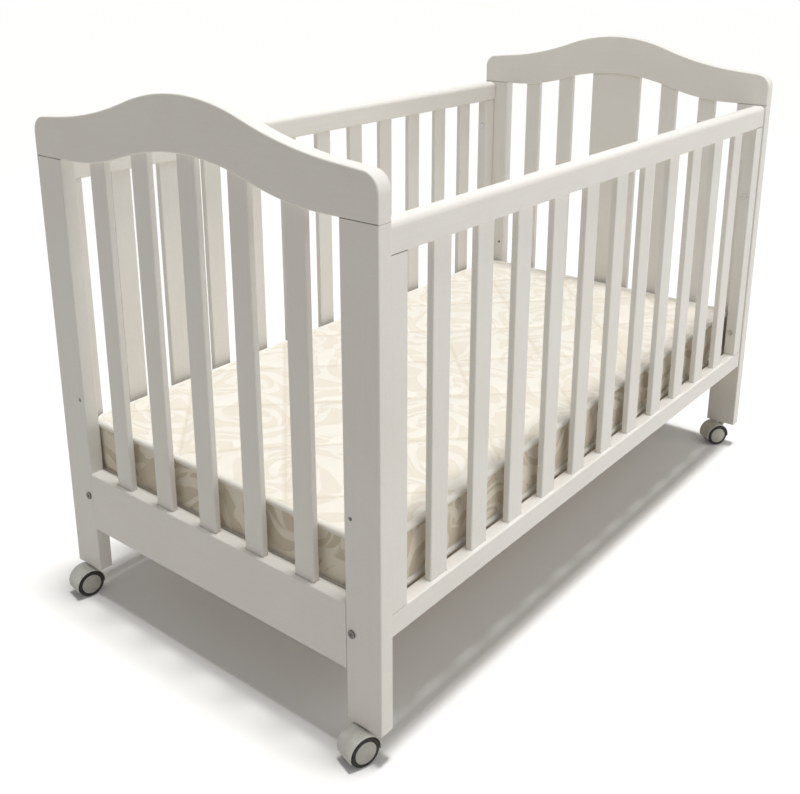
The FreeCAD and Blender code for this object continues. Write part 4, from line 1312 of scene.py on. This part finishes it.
@dataclass
class Studio:
    """Floor, lamps and camera."""

    eye: Point = (-1.6212, -1.1648, 1.1515)
    heading: float = 38.7767
    dip: float = -17.1826
    lens: float = 46.243
    lift: float = -0.15875
    aside: float = -0.0008
    world_level: float = 0.23
    world_tint: Colour = (1.0, 0.985, 0.96)
    sun_aim: Point = (-0.04, 0.05, -1.0)
    sun_strength: float = 2.40
    sun_spread: float = 9.0
    softboxes: tuple[Softbox, ...] = (
        Softbox("front_fill", (1.6, -4.4, 0.85), (0.0, 0.0, 0.55), (3.2, 1.4), 47.0, (0.99, 0.99, 0.98)),
        Softbox("high_fill", (0.2, -2.6, 3.0), (0.0, 0.37, 0.6), (2.6, 1.2), 9.0, (0.98, 0.99, 1.0)),
        Softbox("bed_fill", (-0.35, -0.15, 1.75), (0.4, 0.37, 0.6), (0.9, 0.5), 3.8, (0.97, 0.985, 1.0)),
    )

    def floor(self) -> None:
        """A large plain floor with its surface at z = 0."""
        Bench.clear()
        bpy.ops.mesh.primitive_plane_add(size=40.0, location=(0, 0, 0))
        ground = Bench.named("studio_floor")
        ground.data.materials.append(PaleFloor("pale_floor").make())

    def hang(self, name: str, data: bpy.types.ID, at: Point, way: Vector) -> Piece:
        """Adds a lamp or the camera to the scene.

        Args:
            name: Its name.
            data: The lamp or camera data.
            at: Its place.
            way: The direction that it faces.

        Returns:
            The new object.
        """
        thing = bpy.data.objects.new(name, data)
        thing.location = at
        thing.rotation_mode = "QUATERNION"
        thing.rotation_quaternion = way.to_track_quat("-Z", "Y")
        bpy.context.scene.collection.objects.link(thing)
        return thing

    def lamps(self) -> None:
        """Adds the softboxes, and the overhead light that lays the soft shadow under the crib."""
        for box in self.softboxes:
            data = bpy.data.lights.new(box.name, "AREA")
            data.shape = "RECTANGLE"
            data.size, data.size_y = box.size
            data.energy = box.watts
            data.color = box.tint
            self.hang(box.name, data, box.at, Vector(box.aim) - Vector(box.at))
        sun = bpy.data.lights.new("overhead", "SUN")
        sun.energy = self.sun_strength
        sun.angle = math.radians(self.sun_spread)
        sun.color = (1.0, 0.995, 0.985)
        self.hang("overhead", sun, (0, 0, 4), Vector(self.sun_aim))

    def sky(self) -> None:
        """A soft even world that is white where the camera, a gloss or a clear piece sees it."""
        world = bpy.data.worlds.new("studio")
        world.use_nodes = True
        tree = world.node_tree
        tree.nodes.clear()
        mix = tree.nodes.new("ShaderNodeMixShader")
        levels = ((self.world_tint, self.world_level), ((1.0, 1.0, 1.0), 1.0))
        for socket, (tint, level) in enumerate(levels, 1):
            light = tree.nodes.new("ShaderNodeBackground")
            light.inputs[0].default_value = (*tint, 1.0)
            light.inputs[1].default_value = level
            tree.links.new(light.outputs[0], mix.inputs[socket])
        path = tree.nodes.new("ShaderNodeLightPath")
        seen = path.outputs["Is Camera Ray"]
        for ray in ("Is Transmission Ray", "Is Glossy Ray"):
            either = tree.nodes.new("ShaderNodeMath")
            either.operation = "MAXIMUM"
            tree.links.new(seen, either.inputs[0])
            tree.links.new(path.outputs[ray], either.inputs[1])
            seen = either.outputs[0]
        tree.links.new(seen, mix.inputs[0])
        output = tree.nodes.new("ShaderNodeOutputWorld")
        tree.links.new(mix.outputs[0], output.inputs[0])
        bpy.context.scene.world = world

    def camera(self) -> None:
        """The camera, looking down the crib from beside its foot end."""
        data = bpy.data.cameras.new("camera")
        data.lens = self.lens
        data.sensor_width = 36.0
        data.shift_x = self.aside
        data.shift_y = self.lift
        data.clip_start = 0.02
        data.clip_end = 100.0
        turn, dip = math.radians(self.heading), math.radians(self.dip)
        ahead = Vector((math.cos(dip) * math.cos(turn), math.cos(dip) * math.sin(turn), math.sin(dip)))
        bpy.context.scene.camera = self.hang("camera", data, self.eye, ahead)

    def build(self) -> None:
        """Sets the whole studio up."""
        self.floor()
        self.sky()
        self.camera()
        self.lamps()
        bpy.context.scene.view_settings.view_transform = "Standard"


def main() -> None:
    """Builds the crib's looks and the studio round them."""
    logging.basicConfig(level=logging.INFO, format="%(message)s")
    Woodwork().dress()
    Fasteners(SocketBolt()).build()
    finishes = {
        "hood": MouldedPlastic("hood_plastic", (0.66, 0.655, 0.60), (0.46, 0.45, 0.40)).make(),
        "cap": MouldedPlastic("cap_plastic", (0.46, 0.45, 0.40), (0.33, 0.32, 0.28), 0.40).make(),
        "tread": SoftTread("tread_rubber").make(),
        "zinc": Plating("axle_steel", (0.60, 0.60, 0.59), (0.42, 0.41, 0.39), 0.28).make(),
    }
    for end in End:
        for side in Side:
            Caster(f"{end.name.lower()}_{side.name.lower()}").build(finishes)
    Mattress().build()
    Studio().build()


if __name__ == "__main__":
    main()
